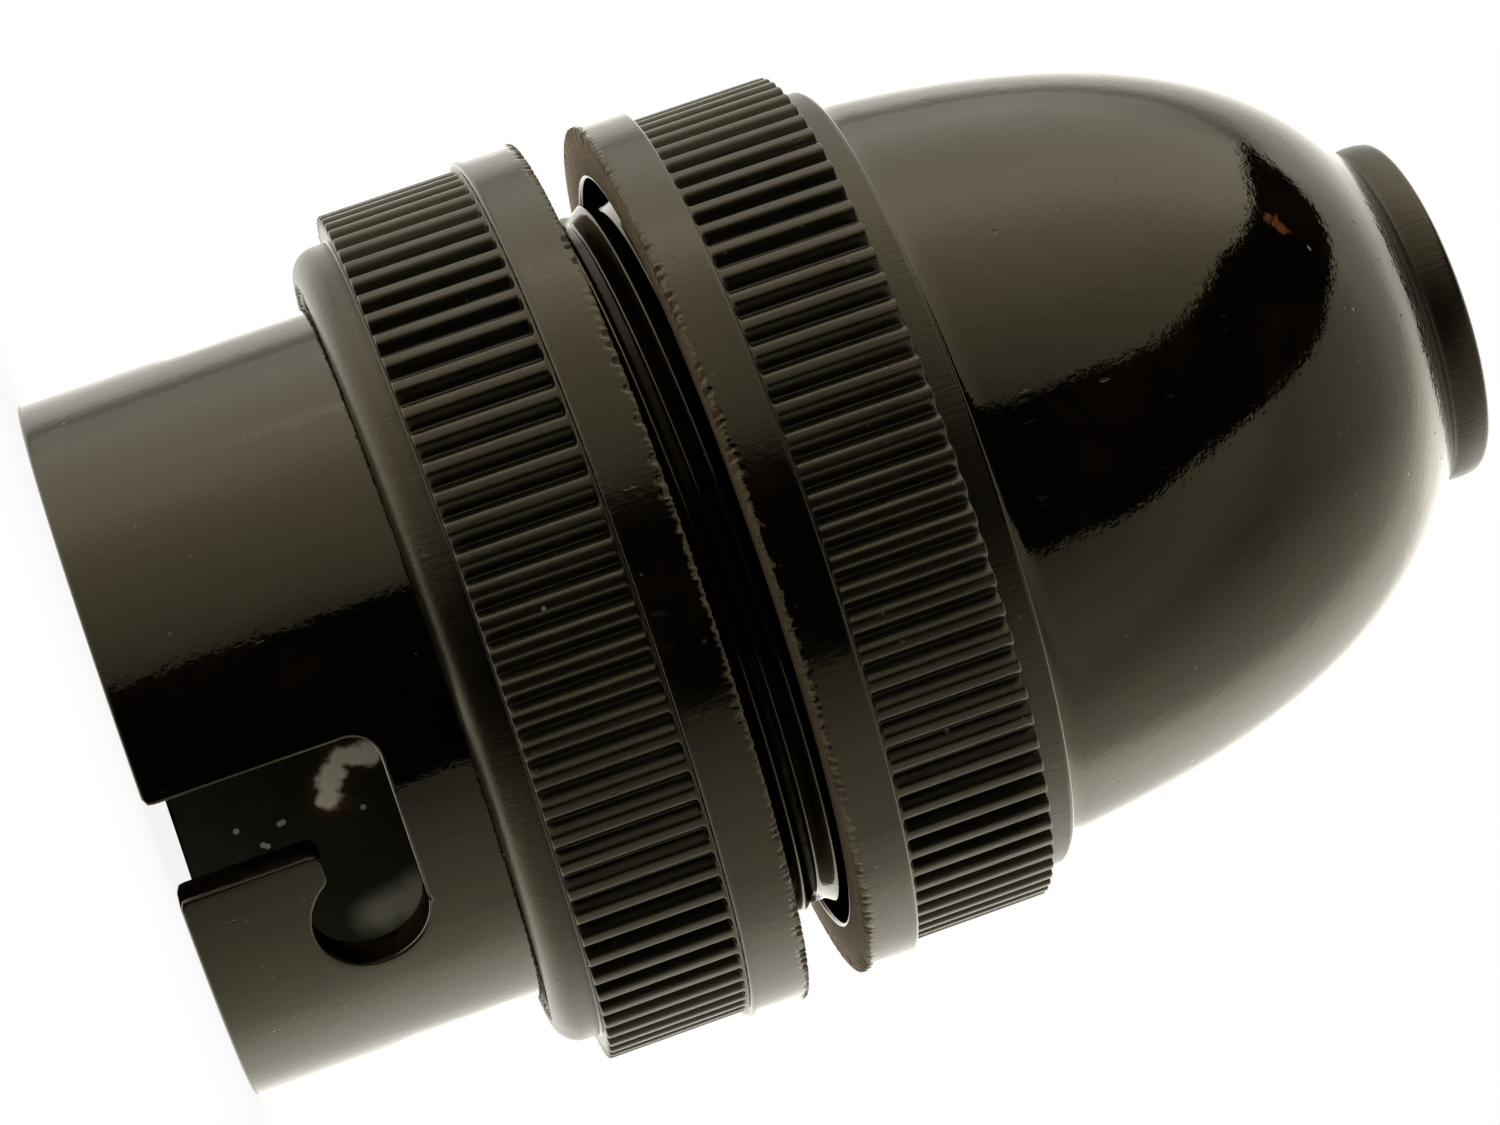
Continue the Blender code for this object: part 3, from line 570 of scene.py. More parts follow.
def dome_grip_rows():
    """Profile of the dome's ribbed foot, up its outer side, over a seat for the crown and down its bore."""
    foot = DOME_LOW.z / MM
    grip, end = foot + 2.08, foot + GRIP_HEIGHT
    crest, wide = 16.86, 17.35
    return np.concatenate([
        arc_rows((15.42, foot + 0.12), 0.12, 180, 266, 4, satin=0.3),
        line_rows((15.5, foot), (16.75, foot), 4, satin=1.0, worn=0.95),
        line_rows((wide - 0.12, foot), (wide - 0.02, foot + 0.05), 2, satin=0.6, worn=0.55, edge=1.0),
        one_row(wide, foot + 0.16, satin=0.22, worn=0.32, edge=0.4),
        line_rows((wide, foot + 0.3), (wide, foot + 0.45), 2, satin=0.22, worn=0.15),
        line_rows((wide, foot + 0.75), (wide, grip - 0.2), 2, satin=0.22),
        arc_rows((wide - 0.12, grip - 0.12), 0.12, 0, 88, 4, satin=0.4),
        line_rows((crest + 0.1, grip), (crest + 0.03, grip + 0.005), 2, satin=0.6),
        grip_rows(crest, grip + 0.03, end, 0.7),
        line_rows((crest - 0.6, end + 0.005), (SHOULDER + 0.14, end + 0.01), 2, satin=0.35),
        arc_rows((SHOULDER + 0.1, end + 0.11), 0.1, 268, 182, 4, satin=0.35),
        line_rows((SHOULDER, end - 0.1), (SHOULDER, end - 0.4), 2, satin=0.6),
        line_rows((DOME_BORE, end - 0.4), (DOME_BORE, foot + 0.9), 5, satin=0.1),
        line_rows((15.0, foot + 0.82), (15.28, foot + 0.8), 2, satin=0.1),
    ])


def crown_rows(low, high, count):
    """Rows of the dome's outer side between two heights: a superellipse, on which the shares of radius and
    height, each raised to one power, add up to 1, stepped by an even angle."""
    risen = (np.array([low, high]) - CROWN_FOOT) / CROWN_RISE
    turn = np.linspace(*np.arcsin(risen ** (CROWN_POWER / 2)), count)
    r = CROWN_RADIUS * np.cos(turn) ** (2 / CROWN_POWER)
    return profile_rows(r, CROWN_FOOT + CROWN_RISE * np.sin(turn) ** (2 / CROWN_POWER))


def dome_crown_rows():
    """Profile of the dome above its ribs, up its outer side over the lip and down its inside.

    The inside lies by the wall's thickness within an arc that leaves a straight taper without a kink and runs
    to the throat."""
    top, end = DOME_HIGH.z / MM, DOME_LOW.z / MM + GRIP_HEIGHT
    taper_foot, taper_top = np.array([15.25, end + 1.2]), np.array([14.5, end + 6.0])
    throat = np.array([6.65, top - 1.8])
    along = (taper_top - taper_foot) / np.hypot(*(taper_top - taper_foot))
    inward = np.array([-along[1], along[0]])
    span = throat - taper_top
    radius = span @ span / (2 * span @ inward)
    centre = taper_top + radius * inward
    inner = radius - WALL
    inside_low = math.atan2(-inward[1], -inward[0])
    inside_high = math.acos((ENTRY - centre[0]) / inner)
    entry_foot = centre[1] + inner * math.sin(inside_high) + 0.2
    # A plain cone takes the crown's last stretch to a small fillet under the lip
    side = crown_rows(taper_foot[1] + 0.4, CONE_FOOT, 70)
    cone = side[-1, :2]
    reach = (CONE_TOP - CONE_FOOT) * np.array([-CONE_SLOPE, 1.0])
    lean = math.atan(CONE_SLOPE)
    fillet = cone + reach + CONE_FILLET * np.array([math.cos(lean), math.sin(lean)])
    lean = math.degrees(lean)
    return np.concatenate([
        line_rows((14.85, end - 0.4), (SHOULDER - 0.02, end - 0.4), 3, satin=0.6),
        line_rows((SHOULDER, end - 0.38), (SHOULDER, end + 1.0), 6, satin=0.8),
        arc_rows((SHOULDER - 0.15, end + 1.05), 0.15, 0, 80, 4, satin=0.2),
        arc_rows(taper_foot + (0.16, 0.17), 0.17, 262, 186, 4, satin=0.1),
        side,
        line_rows(cone + 0.08 * reach, cone + 0.4 * reach, 3),
        line_rows(cone + 0.6 * reach, cone + 0.7 * reach, 2, satin=0.4),
        line_rows(cone + 0.8 * reach, cone + reach, 3, satin=0.8),
        arc_rows(fillet, CONE_FILLET, 175 + lean, 168, 8, satin=0.9),
        arc_rows(LIP_MIDDLE, LIP_BULGE, -13, 13, 12, satin=0.85),
        arc_rows((6.55, top - 0.32), 0.3, 20, 90, 6, satin=0.5),
        line_rows((6.3, top), (5.3, top), 3, satin=0.5),
        arc_rows((ENTRY + 0.25, top - 0.25), 0.25, 90, 180, 5, satin=0.3),
        line_rows((ENTRY, top - 0.6), (ENTRY, entry_foot), 3, satin=0.3),
        arc_rows(centre, inner, math.degrees(inside_high), math.degrees(inside_low), 24, satin=0.6),
        line_rows((13.1, end + 0.9), (DOME_BORE, end + 0.54), 2, satin=0.6),
        line_rows((DOME_BORE, end + 0.3), (DOME_BORE, end - 0.3), 2, satin=0.6),
    ])


# ---------------- small turned pieces

def turned_pin(name, profile, spot, cols=40):
    """Solid of revolution about an upright axis: a profile from the axis back to the axis, ends as fans."""
    profile = np.asarray(profile, float) * MM
    angles = np.linspace(0.0, math.tau, cols, endpoint=False)
    rings = turn_points(angles, profile[1:-1, :1], profile[1:-1, 1:])
    points = np.concatenate([rings.reshape(-1, 3), [[0, 0, profile[0, 1]], [0, 0, profile[-1, 1]]]])
    points[:, :2] += np.asarray(spot)[:2]
    rows = len(profile) - 2
    low = fan_faces(rows * cols, 0, cols)[:, [0, 2, 1]]
    high = fan_faces(rows * cols + 1, (rows - 1) * cols, cols)
    return put_mesh(name, points, tube_faces(rows, cols), np.concatenate([low, high]))


def plunger_profile():
    """Round-nosed pin, collar and spigot, from the tip upward, in mm."""
    tip, collar, spigot = 11.3, 18.1, 20.5
    nose = arc_rows((1.0, tip + 1.05), 1.05, -90, 0, 8)[:, :2]
    return np.concatenate([
        [[0.0, tip], [0.5, tip]], nose,
        [[2.05, 14.0], [2.05, collar], [2.2, collar + 0.01], [2.75, collar + 0.01]],
        [[2.9, collar + 0.15], [2.9, collar + 1.25], [2.75, collar + 1.4], [1.6, collar + 1.4]],
        [[1.5, collar + 1.5], [1.5, spigot - 0.1], [1.4, spigot], [0.0, spigot]]])


# ---------------- node groups and finishes

def new_group(name, inputs, outputs):
    """Shader node group with named sockets: (name, kind, default) for inputs, (name, kind) for outputs."""
    group = bpy.data.node_groups.new(name, "ShaderNodeTree")
    for label, kind, default in inputs:
        socket = group.interface.new_socket(name=label, in_out="INPUT", socket_type=kind)
        if default is not None:
            socket.default_value = default
    for label, kind in outputs:
        group.interface.new_socket(name=label, in_out="OUTPUT", socket_type=kind)
    return group, group.nodes.new("NodeGroupInput"), group.nodes.new("NodeGroupOutput")


class Wires:
    """Shorthand for making and joining nodes in one tree."""

    def __init__(self, tree):
        self.tree = tree

    def set(self, socket, value):
        """Links an output into a socket, or sets its value."""
        if isinstance(value, bpy.types.NodeSocket):
            self.tree.links.new(value, socket)
        elif value is not None:
            socket.default_value = value

    def node(self, kind, *values):
        """New node of a kind, its first inputs linked or set in order."""
        made = self.tree.nodes.new("ShaderNode" + kind)
        for socket, value in zip(made.inputs, values):
            self.set(socket, value)
        return made

    def math(self, operation, a, b=None, c=None, clamp=False):
        """Math node."""
        node = self.node("Math", a, b, c)
        node.operation = operation
        node.use_clamp = clamp
        return node.outputs[0]

    times = partialmethod(math, "MULTIPLY")
    plus = partialmethod(math, "ADD")
    minus = partialmethod(math, "SUBTRACT")
    times_plus = partialmethod(math, "MULTIPLY_ADD")
    most = partialmethod(math, "MAXIMUM")

    def blend(self, part, a, b):
        """Straight run from a to b."""
        return self.times_plus(part, self.minus(b, a), a)

    def ramp(self, value, low, high, start=0.0, end=1.0):
        """Smooth step of a value from one range to another."""
        node = self.node("MapRange", value, low, high, start, end)
        node.interpolation_type = "SMOOTHSTEP"
        return node.outputs[0]

    def window(self, value, low, full, fading, high):
        """Smooth step up from low to full, times one down from fading to high."""
        return self.times(self.ramp(value, low, full), self.ramp(value, high, fading))

    def stretched(self, vector, scale, turn=(0.0, 0.0, 0.0)):
        """Vector turned and scaled along each axis."""
        node = self.node("Mapping", vector)
        node.inputs["Scale"].default_value = scale
        node.inputs["Rotation"].default_value = turn
        return node.outputs[0]

    def noise(self, vector, scale, detail=3.0, rough=0.55, stretch=None):
        """Noise texture's value, with its space stretched where asked."""
        vector = self.stretched(vector, stretch) if stretch else vector
        node = self.node("TexNoise", vector)
        self.set(node.inputs["Scale"], scale)
        node.inputs["Detail"].default_value = detail
        node.inputs["Roughness"].default_value = rough
        return node.outputs["Fac"]

    def cells(self, vector, scale):
        """Voronoi distance and random colour by cell."""
        node = self.node("TexVoronoi", vector)
        self.set(node.inputs["Scale"], scale)
        return node.outputs["Distance"], node.outputs["Color"]

    def mix(self, part, a, b):
        """Colour mix."""
        node = self.node("Mix", part)
        node.data_type = "RGBA"
        self.set(node.inputs["A"], a if isinstance(a, bpy.types.NodeSocket) else (*a, 1.0))
        self.set(node.inputs["B"], b if isinstance(b, bpy.types.NodeSocket) else (*b, 1.0))
        return next(o for o in node.outputs if o.type == "RGBA")

    def group(self, tree, **values):
        """Places a node group and sets its inputs by name."""
        node = self.node("Group")
        node.node_tree = tree
        for label, value in values.items():
            self.set(node.inputs[label], value)
        return node.outputs

    def either(self, part, a, b):
        """Mix of two shaders."""
        return self.node("MixShader", part, a, b).outputs[0]


def specks_group():
    """Dust specks and pits: small discs at the middles of a few cells, chosen by the cell's random colour."""
    group, given, out = new_group(
        "specks",
        [("Vector", "NodeSocketVector", None), ("Scale", "NodeSocketFloat", 900.0),
         ("Share", "NodeSocketFloat", 0.05), ("Size", "NodeSocketFloat", 0.12)],
        [("Mask", "NodeSocketFloat")])
    w = Wires(group)
    distance, random = w.cells(given.outputs["Vector"], given.outputs["Scale"])
    chosen = w.math("GREATER_THAN", given.outputs["Share"], w.node("SeparateColor", random).outputs[0])
    disc = w.ramp(distance, given.outputs["Size"], w.times(given.outputs["Size"], 0.6))
    w.set(out.inputs["Mask"], w.times(chosen, disc))
    return group


def skin_group():
    """Moulded skin: height of the ripple in the polish and of the fine grain, and clouds for colour."""
    group, given, out = new_group(
        "moulded_skin",
        [("Vector", "NodeSocketVector", None), ("Ripple", "NodeSocketFloat", 1.0),
         ("Grain", "NodeSocketFloat", 0.3)],
        [("Height", "NodeSocketFloat"), ("Cloud", "NodeSocketFloat")])
    w = Wires(group)
    vector = given.outputs["Vector"]
    ripple = w.times(w.noise(vector, 650.0, 2.0, 0.5), given.outputs["Ripple"])
    grain = w.times(w.noise(vector, 3600.0, 2.0, 0.6), given.outputs["Grain"])
    w.set(out.inputs["Height"], w.plus(ripple, grain))
    w.set(out.inputs["Cloud"], w.ramp(w.noise(vector, 300.0, 5.0, 0.65), 0.42, 0.72))
    return group


def new_material(name):
    """New node material: its shader, its object coordinates and its wires."""
    material = bpy.data.materials.new(name)
    material.use_nodes = True
    shader = material.node_tree.nodes["Principled BSDF"]
    w = Wires(material.node_tree)
    return shader, w.node("TexCoord").outputs["Object"], w


def layer(w, name):
    """Float layer of the piece's own mesh."""
    node = w.node("Attribute")
    node.attribute_name = name
    return node.outputs["Fac"]


def specks(w, groups, place, scale, part, size):
    """Mask of specks: cells to the metre, part of the cells that hold one, and its size in the cell."""
    return w.group(groups["specks"], Vector=place, Scale=scale, Share=part, Size=size)["Mask"]


def bump(w, shader, height, distance):
    """Bump node into the shader's normal."""
    node = w.node("Bump")
    node.inputs["Distance"].default_value = distance
    w.set(node.inputs["Height"], height)
    w.set(shader.inputs["Normal"], node.outputs[0])


def nearest(w, place, points):
    """Distance to the nearest of a few points given in mm."""
    made = None
    for point in points:
        node = w.node("VectorMath", place, [c * MM for c in point])
        node.operation = "DISTANCE"
        made = node.outputs["Value"] if made is None else w.math("MINIMUM", made, node.outputs["Value"])
    return made


# Middles of the orange mark on the dome, and of the painted lit patch, the painted grey sheen and the pale
# flecks on the bore's wall, in mm
DOME_MARK = ((-4.85, -10.83, 46.05), (-4.70, -10.85, 46.33), (-4.45, -10.92, 46.48))
PAINTED_PATCH_MIDDLES = (
    (2.85, 11.35, 7.3), (2.95, 11.32, 7.9), (3.1, 11.28, 8.5), (3.4, 11.2, 6.9), (3.85, 11.05, 6.6),
    (4.35, 10.86, 6.4))
PAINTED_SHEEN_MIDDLES = ((9.0, 7.48, 8.6), (9.2, 7.23, 7.7), (9.3, 7.1, 6.9))
FLECKS = (
    (4.37, 10.85, 2.33), (4.66, 10.73, 4.1), (4.64, 10.74, 4.25), (5.25, 10.45, 3.2), (5.35, 10.4, 3.35),
    (5.13, 10.51, 7.54))


def moulding_material(finish, groups):
    """Dark brown moulded resin: polished skin, satin grips, filed edges, filler spots, scratches and dust."""
    shader, place, w = new_material("brown_moulding")
    satin, worn = layer(w, "satin"), layer(w, "worn")
    skin = w.group(groups["skin"], Vector=place, Ripple=1.0, Grain=0.55)
    fibres = w.noise(place, 2600.0, 4.0, 0.7)
    bare = w.ramp(w.times_plus(fibres, 1.3, w.minus(worn, 0.65)), 0.30, 0.42)
    bare = w.times(bare, w.ramp(worn, 0.02, 0.12))
    streaks = w.noise(place, 6500.0, 2.0, 0.6, stretch=(1.0, 1.0, 0.07))
    dust_and_painted_sheen = specks(w, groups, place, 560.0, 0.03, 0.07)
    fine = specks(w, groups, place, 1700.0, 0.045, 0.16)
    pits = specks(w, groups, place, 520.0, 0.06, 0.06)
    along = w.stretched(place, (1.0, 1.0, 0.2), (0.0, 0.3, 0.0))
    dents = specks(w, groups, along, 1100.0, 0.5, 0.07)
    across = w.stretched(place, (0.3, 1.0, 1.0), (0.0, 0.5, 0.0))
    nicks = specks(w, groups, across, 1200.0, 0.15, 0.07)
    dents = w.times(w.most(dents, nicks), w.ramp(w.noise(place, 6000.0), 0.35, 0.65))
    hairs = w.ramp(w.noise(place, 4200.0, 1.0, 0.5, stretch=(0.9, 0.5, 0.2)), 0.73, 0.78)
    ragged_mark = w.times_plus(w.noise(place, 3200.0), 0.9 * MM, nearest(w, place, DOME_MARK))
    mark = w.ramp(ragged_mark, 0.78 * MM, 0.58 * MM)
    tone = w.mix(skin["Cloud"], finish.moulding, finish.mottle)
    tone = w.mix(w.times(mark, 0.8), tone, finish.orange_mark_and_painted_fringe)
    tone = w.mix(w.times(hairs, 0.03), tone, finish.dust_and_painted_sheen)
    grit = w.ramp(w.noise(place, 5200.0), 0.3, 0.6, 0.3, 1.0)
    depth = w.times(w.ramp(worn, 0.4, 0.9, 0.3, 1.0), grit)
    filed = w.mix(depth, [c * 0.06 for c in finish.filed], finish.filed)
    tone = w.mix(bare, tone, filed)
    tone = w.mix(w.times(fine, 0.12), tone, finish.dust_and_painted_sheen)
    tone = w.mix(w.times(dust_and_painted_sheen, 0.6), tone, finish.dust_and_painted_sheen)
    w.set(shader.inputs["Base Color"], tone)
    gloss = w.ramp(w.noise(place, 700.0, 3.0), 0.3, 0.7, finish.polish * 0.8, finish.polish * 1.3)
    gloss = w.plus(gloss, w.times(satin, finish.satin - finish.polish))
    gloss = w.plus(gloss, w.times(bare, 0.4), clamp=True)
    w.set(shader.inputs["Roughness"], gloss)
    shader.inputs["IOR"].default_value = 1.6
    shader.inputs["Specular Tint"].default_value = (1.0, 0.87, 0.57, 1.0)
    height = w.minus(skin["Height"], w.times(pits, 2.5))
    height = w.minus(height, w.times(dents, 2.0))
    height = w.plus(height, w.times(bare, w.noise(place, 3800.0, 3.0, 0.7)))
    height = w.plus(height, w.times(satin, w.times(streaks, 1.6)))
    bump(w, shader, height, 0.011 * MM)


def bare_material(finish, groups):
    """Unpolished resin of the bore and the slots' walls, with pale flecks and painted light: the bore's olive
    reflection, a lit patch, its brown fringe and a grey sheen.
    """
    shader, place, w = new_material("bare_moulding")
    skin = w.group(groups["skin"], Vector=place, Ripple=0.8, Grain=0.6)
    flecks = w.ramp(nearest(w, place, FLECKS), 0.15 * MM, 0.10 * MM)
    # Painted light: a pale lit patch on the far bore wall seen through the slot, with a painted brown fringe,
    # and rougher where the patch lies
    ragged_edge = w.times_plus(w.noise(place, 1100.0), 1.1 * MM, nearest(w, place, PAINTED_PATCH_MIDDLES))
    painted_lit_patch = w.ramp(ragged_edge, 1.22 * MM, 0.86 * MM)
    painted_patch_fringe = w.ramp(ragged_edge, 1.6 * MM, 1.0 * MM)
    # Painted reflection: a grey sheen on the far bore wall seen through the hook
    dust_and_painted_sheen = w.times_plus(w.noise(place, 900.0), 0.5 * MM, nearest(w, place, PAINTED_SHEEN_MIDDLES))
    wall = layer(w, "wall")
    # Painted reflection: the olive tone of the bore stands in for the reflection of the lit inside; the walls
    # keep the resin's own dark brown
    tone = w.mix(skin["Cloud"], (0.020, 0.019, 0.012), (0.030, 0.028, 0.018))
    # Painted reflection: the grey sheen
    tone = w.mix(w.ramp(dust_and_painted_sheen, 2.0 * MM, 0.4 * MM), tone, (0.20, 0.195, 0.155))
    tone = w.mix(wall, tone, w.mix(skin["Cloud"], finish.moulding, [c * 2.2 for c in finish.mottle]))
    # Painted light: the brown fringe and the pale lit patch
    tone = w.mix(w.times(painted_patch_fringe, 0.4), tone, finish.orange_mark_and_painted_fringe)
    tone = w.mix(painted_lit_patch, tone, (0.95, 0.88, 0.72))
    w.set(shader.inputs["Base Color"], w.mix(w.times(flecks, 0.9), tone, finish.dust_and_painted_sheen))
    w.set(shader.inputs["Roughness"], w.times_plus(painted_lit_patch, 0.5, 0.3))
    shader.inputs["Specular IOR Level"].default_value = 0.0
    bump(w, shader, skin["Height"], 0.015 * MM)


def inner_material(finish, groups):
    """Matt moulded resin of the carrier and the bridge."""
    shader, place, w = new_material("matt_moulding")
    skin = w.group(groups["skin"], Vector=place, Ripple=0.6, Grain=0.6)
    dust_and_painted_sheen = specks(w, groups, place, 500.0, 0.06, 0.1)
    pale = [min(1.0, c * 1.8) for c in finish.inner_moulding]
    tone = w.mix(skin["Cloud"], finish.inner_moulding, pale)
    w.set(shader.inputs["Base Color"], w.mix(w.times(dust_and_painted_sheen, 0.5), tone, finish.dust_and_painted_sheen))
    w.set(shader.inputs["Roughness"], w.ramp(skin["Cloud"], 0.0, 1.0, 0.42, 0.58))
    shader.inputs["IOR"].default_value = 1.58
    bump(w, shader, skin["Height"], 0.02 * MM)


def metal_material(name, bright, dull, groups, turned):
    """Worn metal: turning lines, a dull film in clouds and a few specks."""
    shader, place, w = new_material(name)
    skin = w.group(groups["skin"], Vector=place, Ripple=0.5, Grain=0.4)
    lines = w.noise(place, 900.0, 2.0, 0.5, stretch=turned)
    film = w.times(skin["Cloud"], w.ramp(w.noise(place, 900.0), 0.35, 0.65))
    spots = specks(w, groups, place, 1100.0, 0.12, 0.2)
    tone = w.mix(film, bright, dull)
    w.set(shader.inputs["Base Color"], w.mix(spots, tone, dull))
    shader.inputs["Metallic"].default_value = 1.0
    matt = w.plus(film, w.times(lines, 0.4))
    w.set(shader.inputs["Roughness"], w.ramp(matt, 0.0, 1.0, 0.2, 0.45))
    bump(w, shader, w.plus(skin["Height"], lines), 0.006 * MM)


def finishes(finish):
    """All the finishes by name, made once and kept in the file's data."""
    if "brown_moulding" not in bpy.data.materials:
        groups = {"skin": skin_group(), "specks": specks_group()}
        moulding_material(finish, groups)
        bare_material(finish, groups)
        inner_material(finish, groups)
        metal_material("turned_brass", finish.brass, finish.tarnish, groups, (0.15, 0.15, 4.0))
        dark = tuple(c * 0.5 for c in finish.steel)
        metal_material("spring_steel", finish.steel, dark, groups, (0.3, 0.3, 3.0))
    return bpy.data.materials


# Angle between faces past which an edge of a copy stays sharp
SHARP_ANGLE = math.radians(38.0)
# Columns round the plain crown, and seeds of the chips in the ring's and the dome's edges
CROWN_COLUMNS, RING_SEED, DOME_SEED = 480, 3, 8


def smooth_copy(name):
    """Copy of a CAD node's mesh with its doubled points merged, smooth but for its sharp edges."""
    mesh = frame["nodes"][name].data.copy()
    mesh.name = f"smooth_{name}"
    merged = bmesh.new()
    merged.from_mesh(mesh)
    bmesh.ops.remove_doubles(merged, verts=merged.verts, dist=0.001 * MM)
    merged.to_mesh(mesh)
    merged.free()
    if "custom_normal" in mesh.attributes:
        mesh.attributes.remove(mesh.attributes["custom_normal"])
    mesh.materials.clear()
    mesh.polygons.foreach_set("use_smooth", np.ones(len(mesh.polygons), bool))
    mesh.set_sharp_from_angle(angle=SHARP_ANGLE)
    return put_object(mesh.name, mesh)


def dress(name, slot, material):
    """Puts a smooth copy with its finish in the place of a CAD node."""
    piece = smooth_copy(name)
    fit(piece, frame["nodes"][name]["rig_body"], slot, material, name)
    return piece


def press_spring(spring):
    """Gives the spring a mesh of its own."""
    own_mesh(spring)


def fit(piece, body, slot, material, *nodes):
    """Gives a piece its finish and its body, and hides the nodes it stands for; the slot is not used."""
    piece.data.materials.append(material)
    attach(piece, body)
    if nodes:
        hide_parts(*nodes)


# ---------------- operators

class OBJECT_OT_lampholder_barrel(bpy.types.Operator):
    """Make the slotted skirt and the threaded neck of the barrel."""

    bl_idname = "object.lampholder_barrel"
    bl_label = "Barrel"

    def execute(self, context):
        size = context.scene.lampholder_sizes
        made = finishes(context.scene.lampholder_finish)
        skirt = barrel_skirt(size)
        fit(skirt, "barrel", "moulding", made["brown_moulding"], "bayonet_barrel")
        skirt.data.materials.append(made["bare_moulding"])
        fit(barrel_neck(size), "barrel", "moulding", made["brown_moulding"])
        return {"FINISHED"}


class OBJECT_OT_lampholder_ring(bpy.types.Operator):
    """Make the ribbed shade ring."""

    bl_idname = "object.lampholder_ring"
    bl_label = "Shade ring"

    def execute(self, context):
        size = context.scene.lampholder_sizes
        resin = finishes(context.scene.lampholder_finish)["brown_moulding"]
        angles, across = rib_columns(size.rib_count, size.ring_phase)
        chips = chip_depths(angles, RING_SEED, size.chip_depth)
        piece = ribbed_turning("shade_ring_moulding", ring_rows(), angles, across, size.rib_height, chips)
        fit(piece, "shade_ring", "moulding", resin, "shade_ring")
        return {"FINISHED"}


class OBJECT_OT_lampholder_dome(bpy.types.Operator):
    """Make the ribbed foot and the crown of the dome cap."""

    bl_idname = "object.lampholder_dome"
    bl_label = "Dome cap"

    def execute(self, context):
        size = context.scene.lampholder_sizes
        made = finishes(context.scene.lampholder_finish)
        resin = made["brown_moulding"]
        angles, across = rib_columns(size.rib_count, size.dome_phase)
        chips = chip_depths(angles, DOME_SEED, size.chip_depth)
        rows = dome_grip_rows()
        grip = ribbed_turning("dome_grip", rows, angles, across, size.rib_height, chips)
        fit(grip, "dome_cap", "moulding", resin, "dome_cap")
        grip.data.materials.append(made["bare_moulding"])
        bore = np.repeat(np.arange(len(rows)) >= len(rows) - BORE_ROWS, len(angles))
        grip.data.polygons.foreach_set("material_index", bore.astype(np.int32))
        angles = np.linspace(0.0, math.tau, CROWN_COLUMNS, endpoint=False)
        plain = np.zeros_like(angles)
        crown = ribbed_turning("dome_crown", dome_crown_rows(), angles, plain, 0.0, plain)
        fit(crown, "dome_cap", "moulding", resin)
        return {"FINISHED"}


class OBJECT_OT_lampholder_contacts(bpy.types.Operator):
    """Make the sprung plungers, and finish the posts, the springs and all screws."""

    bl_idname = "object.lampholder_contacts"
    bl_label = "Contacts"

    def execute(self, context):
        made = finishes(context.scene.lampholder_finish)
        for side in ("left", "right"):
            low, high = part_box(f"plunger_{side}")
            pin = turned_pin(f"plunger_pin_{side}", plunger_profile(), (low + high) / 2)
            fit(pin, f"plunger_{side}", "brass", made["turned_brass"], f"plunger_{side}")
            dress(f"terminal_post_{side}", "brass", made["turned_brass"])
            dress(f"terminal_screw_{side}", "brass", made["turned_brass"])
            press_spring(dress(f"plunger_spring_{side}", "steel", made["spring_steel"]))
        for side in ("front", "back"):
            dress(f"bridge_screw_{side}", "steel", made["spring_steel"])
        return {"FINISHED"}


class OBJECT_OT_lampholder_inner(bpy.types.Operator):
    """Finish the carrier and the bridge."""

    bl_idname = "object.lampholder_inner"
    bl_label = "Inner mouldings"

    def execute(self, context):
        matt = finishes(context.scene.lampholder_finish)["matt_moulding"]
        dress("plunger_carrier", "inner_moulding", matt)
        dress("terminal_bridge", "inner_moulding", matt)
        return {"FINISHED"}


# ---------------- stage

# Columns of the floor's disc, its rings in shares of its radius, and its drop below the mouth
FLOOR_COLUMNS, FLOOR_RINGS, FLOOR_DROP = 96, np.array([0.02, 0.06, 0.2, 0.6, 1.0]), 0.01 * MM
# Glow of the paper to the camera, and its share against the paper that takes the shadow
PAPER_GLOW, GLOW_SHARE = 1.03, 0.86


def floor_disc(radius):
    """Flat floor: rings of a disc round the origin, a hair below the mouth."""
    cols, rows = FLOOR_COLUMNS, len(FLOOR_RINGS)
    angles = np.linspace(0.0, math.tau, cols, endpoint=False)
    rings = turn_points(angles, FLOOR_RINGS[:, None] * radius, -FLOOR_DROP).reshape(-1, 3)
    points = np.concatenate([rings, [[0.0, 0.0, -FLOOR_DROP]]])
    return put_mesh("floor", points, tube_faces(rows, cols)[:, ::-1], fan_faces(rows * cols, 0, cols))


def floor_material():
    """White paper floor: mostly white to the camera, with the object's shadow, and clear to all other rays
    and from below, so that the light also comes from below as on a light table."""
    material = bpy.data.materials.new("white_paper")
    material.use_nodes = True
    material.node_tree.nodes.clear()
    w = Wires(material.node_tree)
    place = w.node("TexCoord").outputs["Object"]
    white = w.mix(w.noise(place, 40.0), (0.93, 0.93, 0.925), (0.96, 0.96, 0.955))
    paper = w.node("BsdfDiffuse", white).outputs[0]
    glow = w.node("Emission", None, PAPER_GLOW).outputs[0]
    clear = w.node("BsdfTransparent").outputs[0]
    back = w.node("NewGeometry").outputs["Backfacing"]
    seen = w.minus(w.node("LightPath").outputs["Is Camera Ray"], back, clamp=True)
    w.node("OutputMaterial", w.either(seen, clear, w.either(GLOW_SHARE, paper, glow)))
    return material


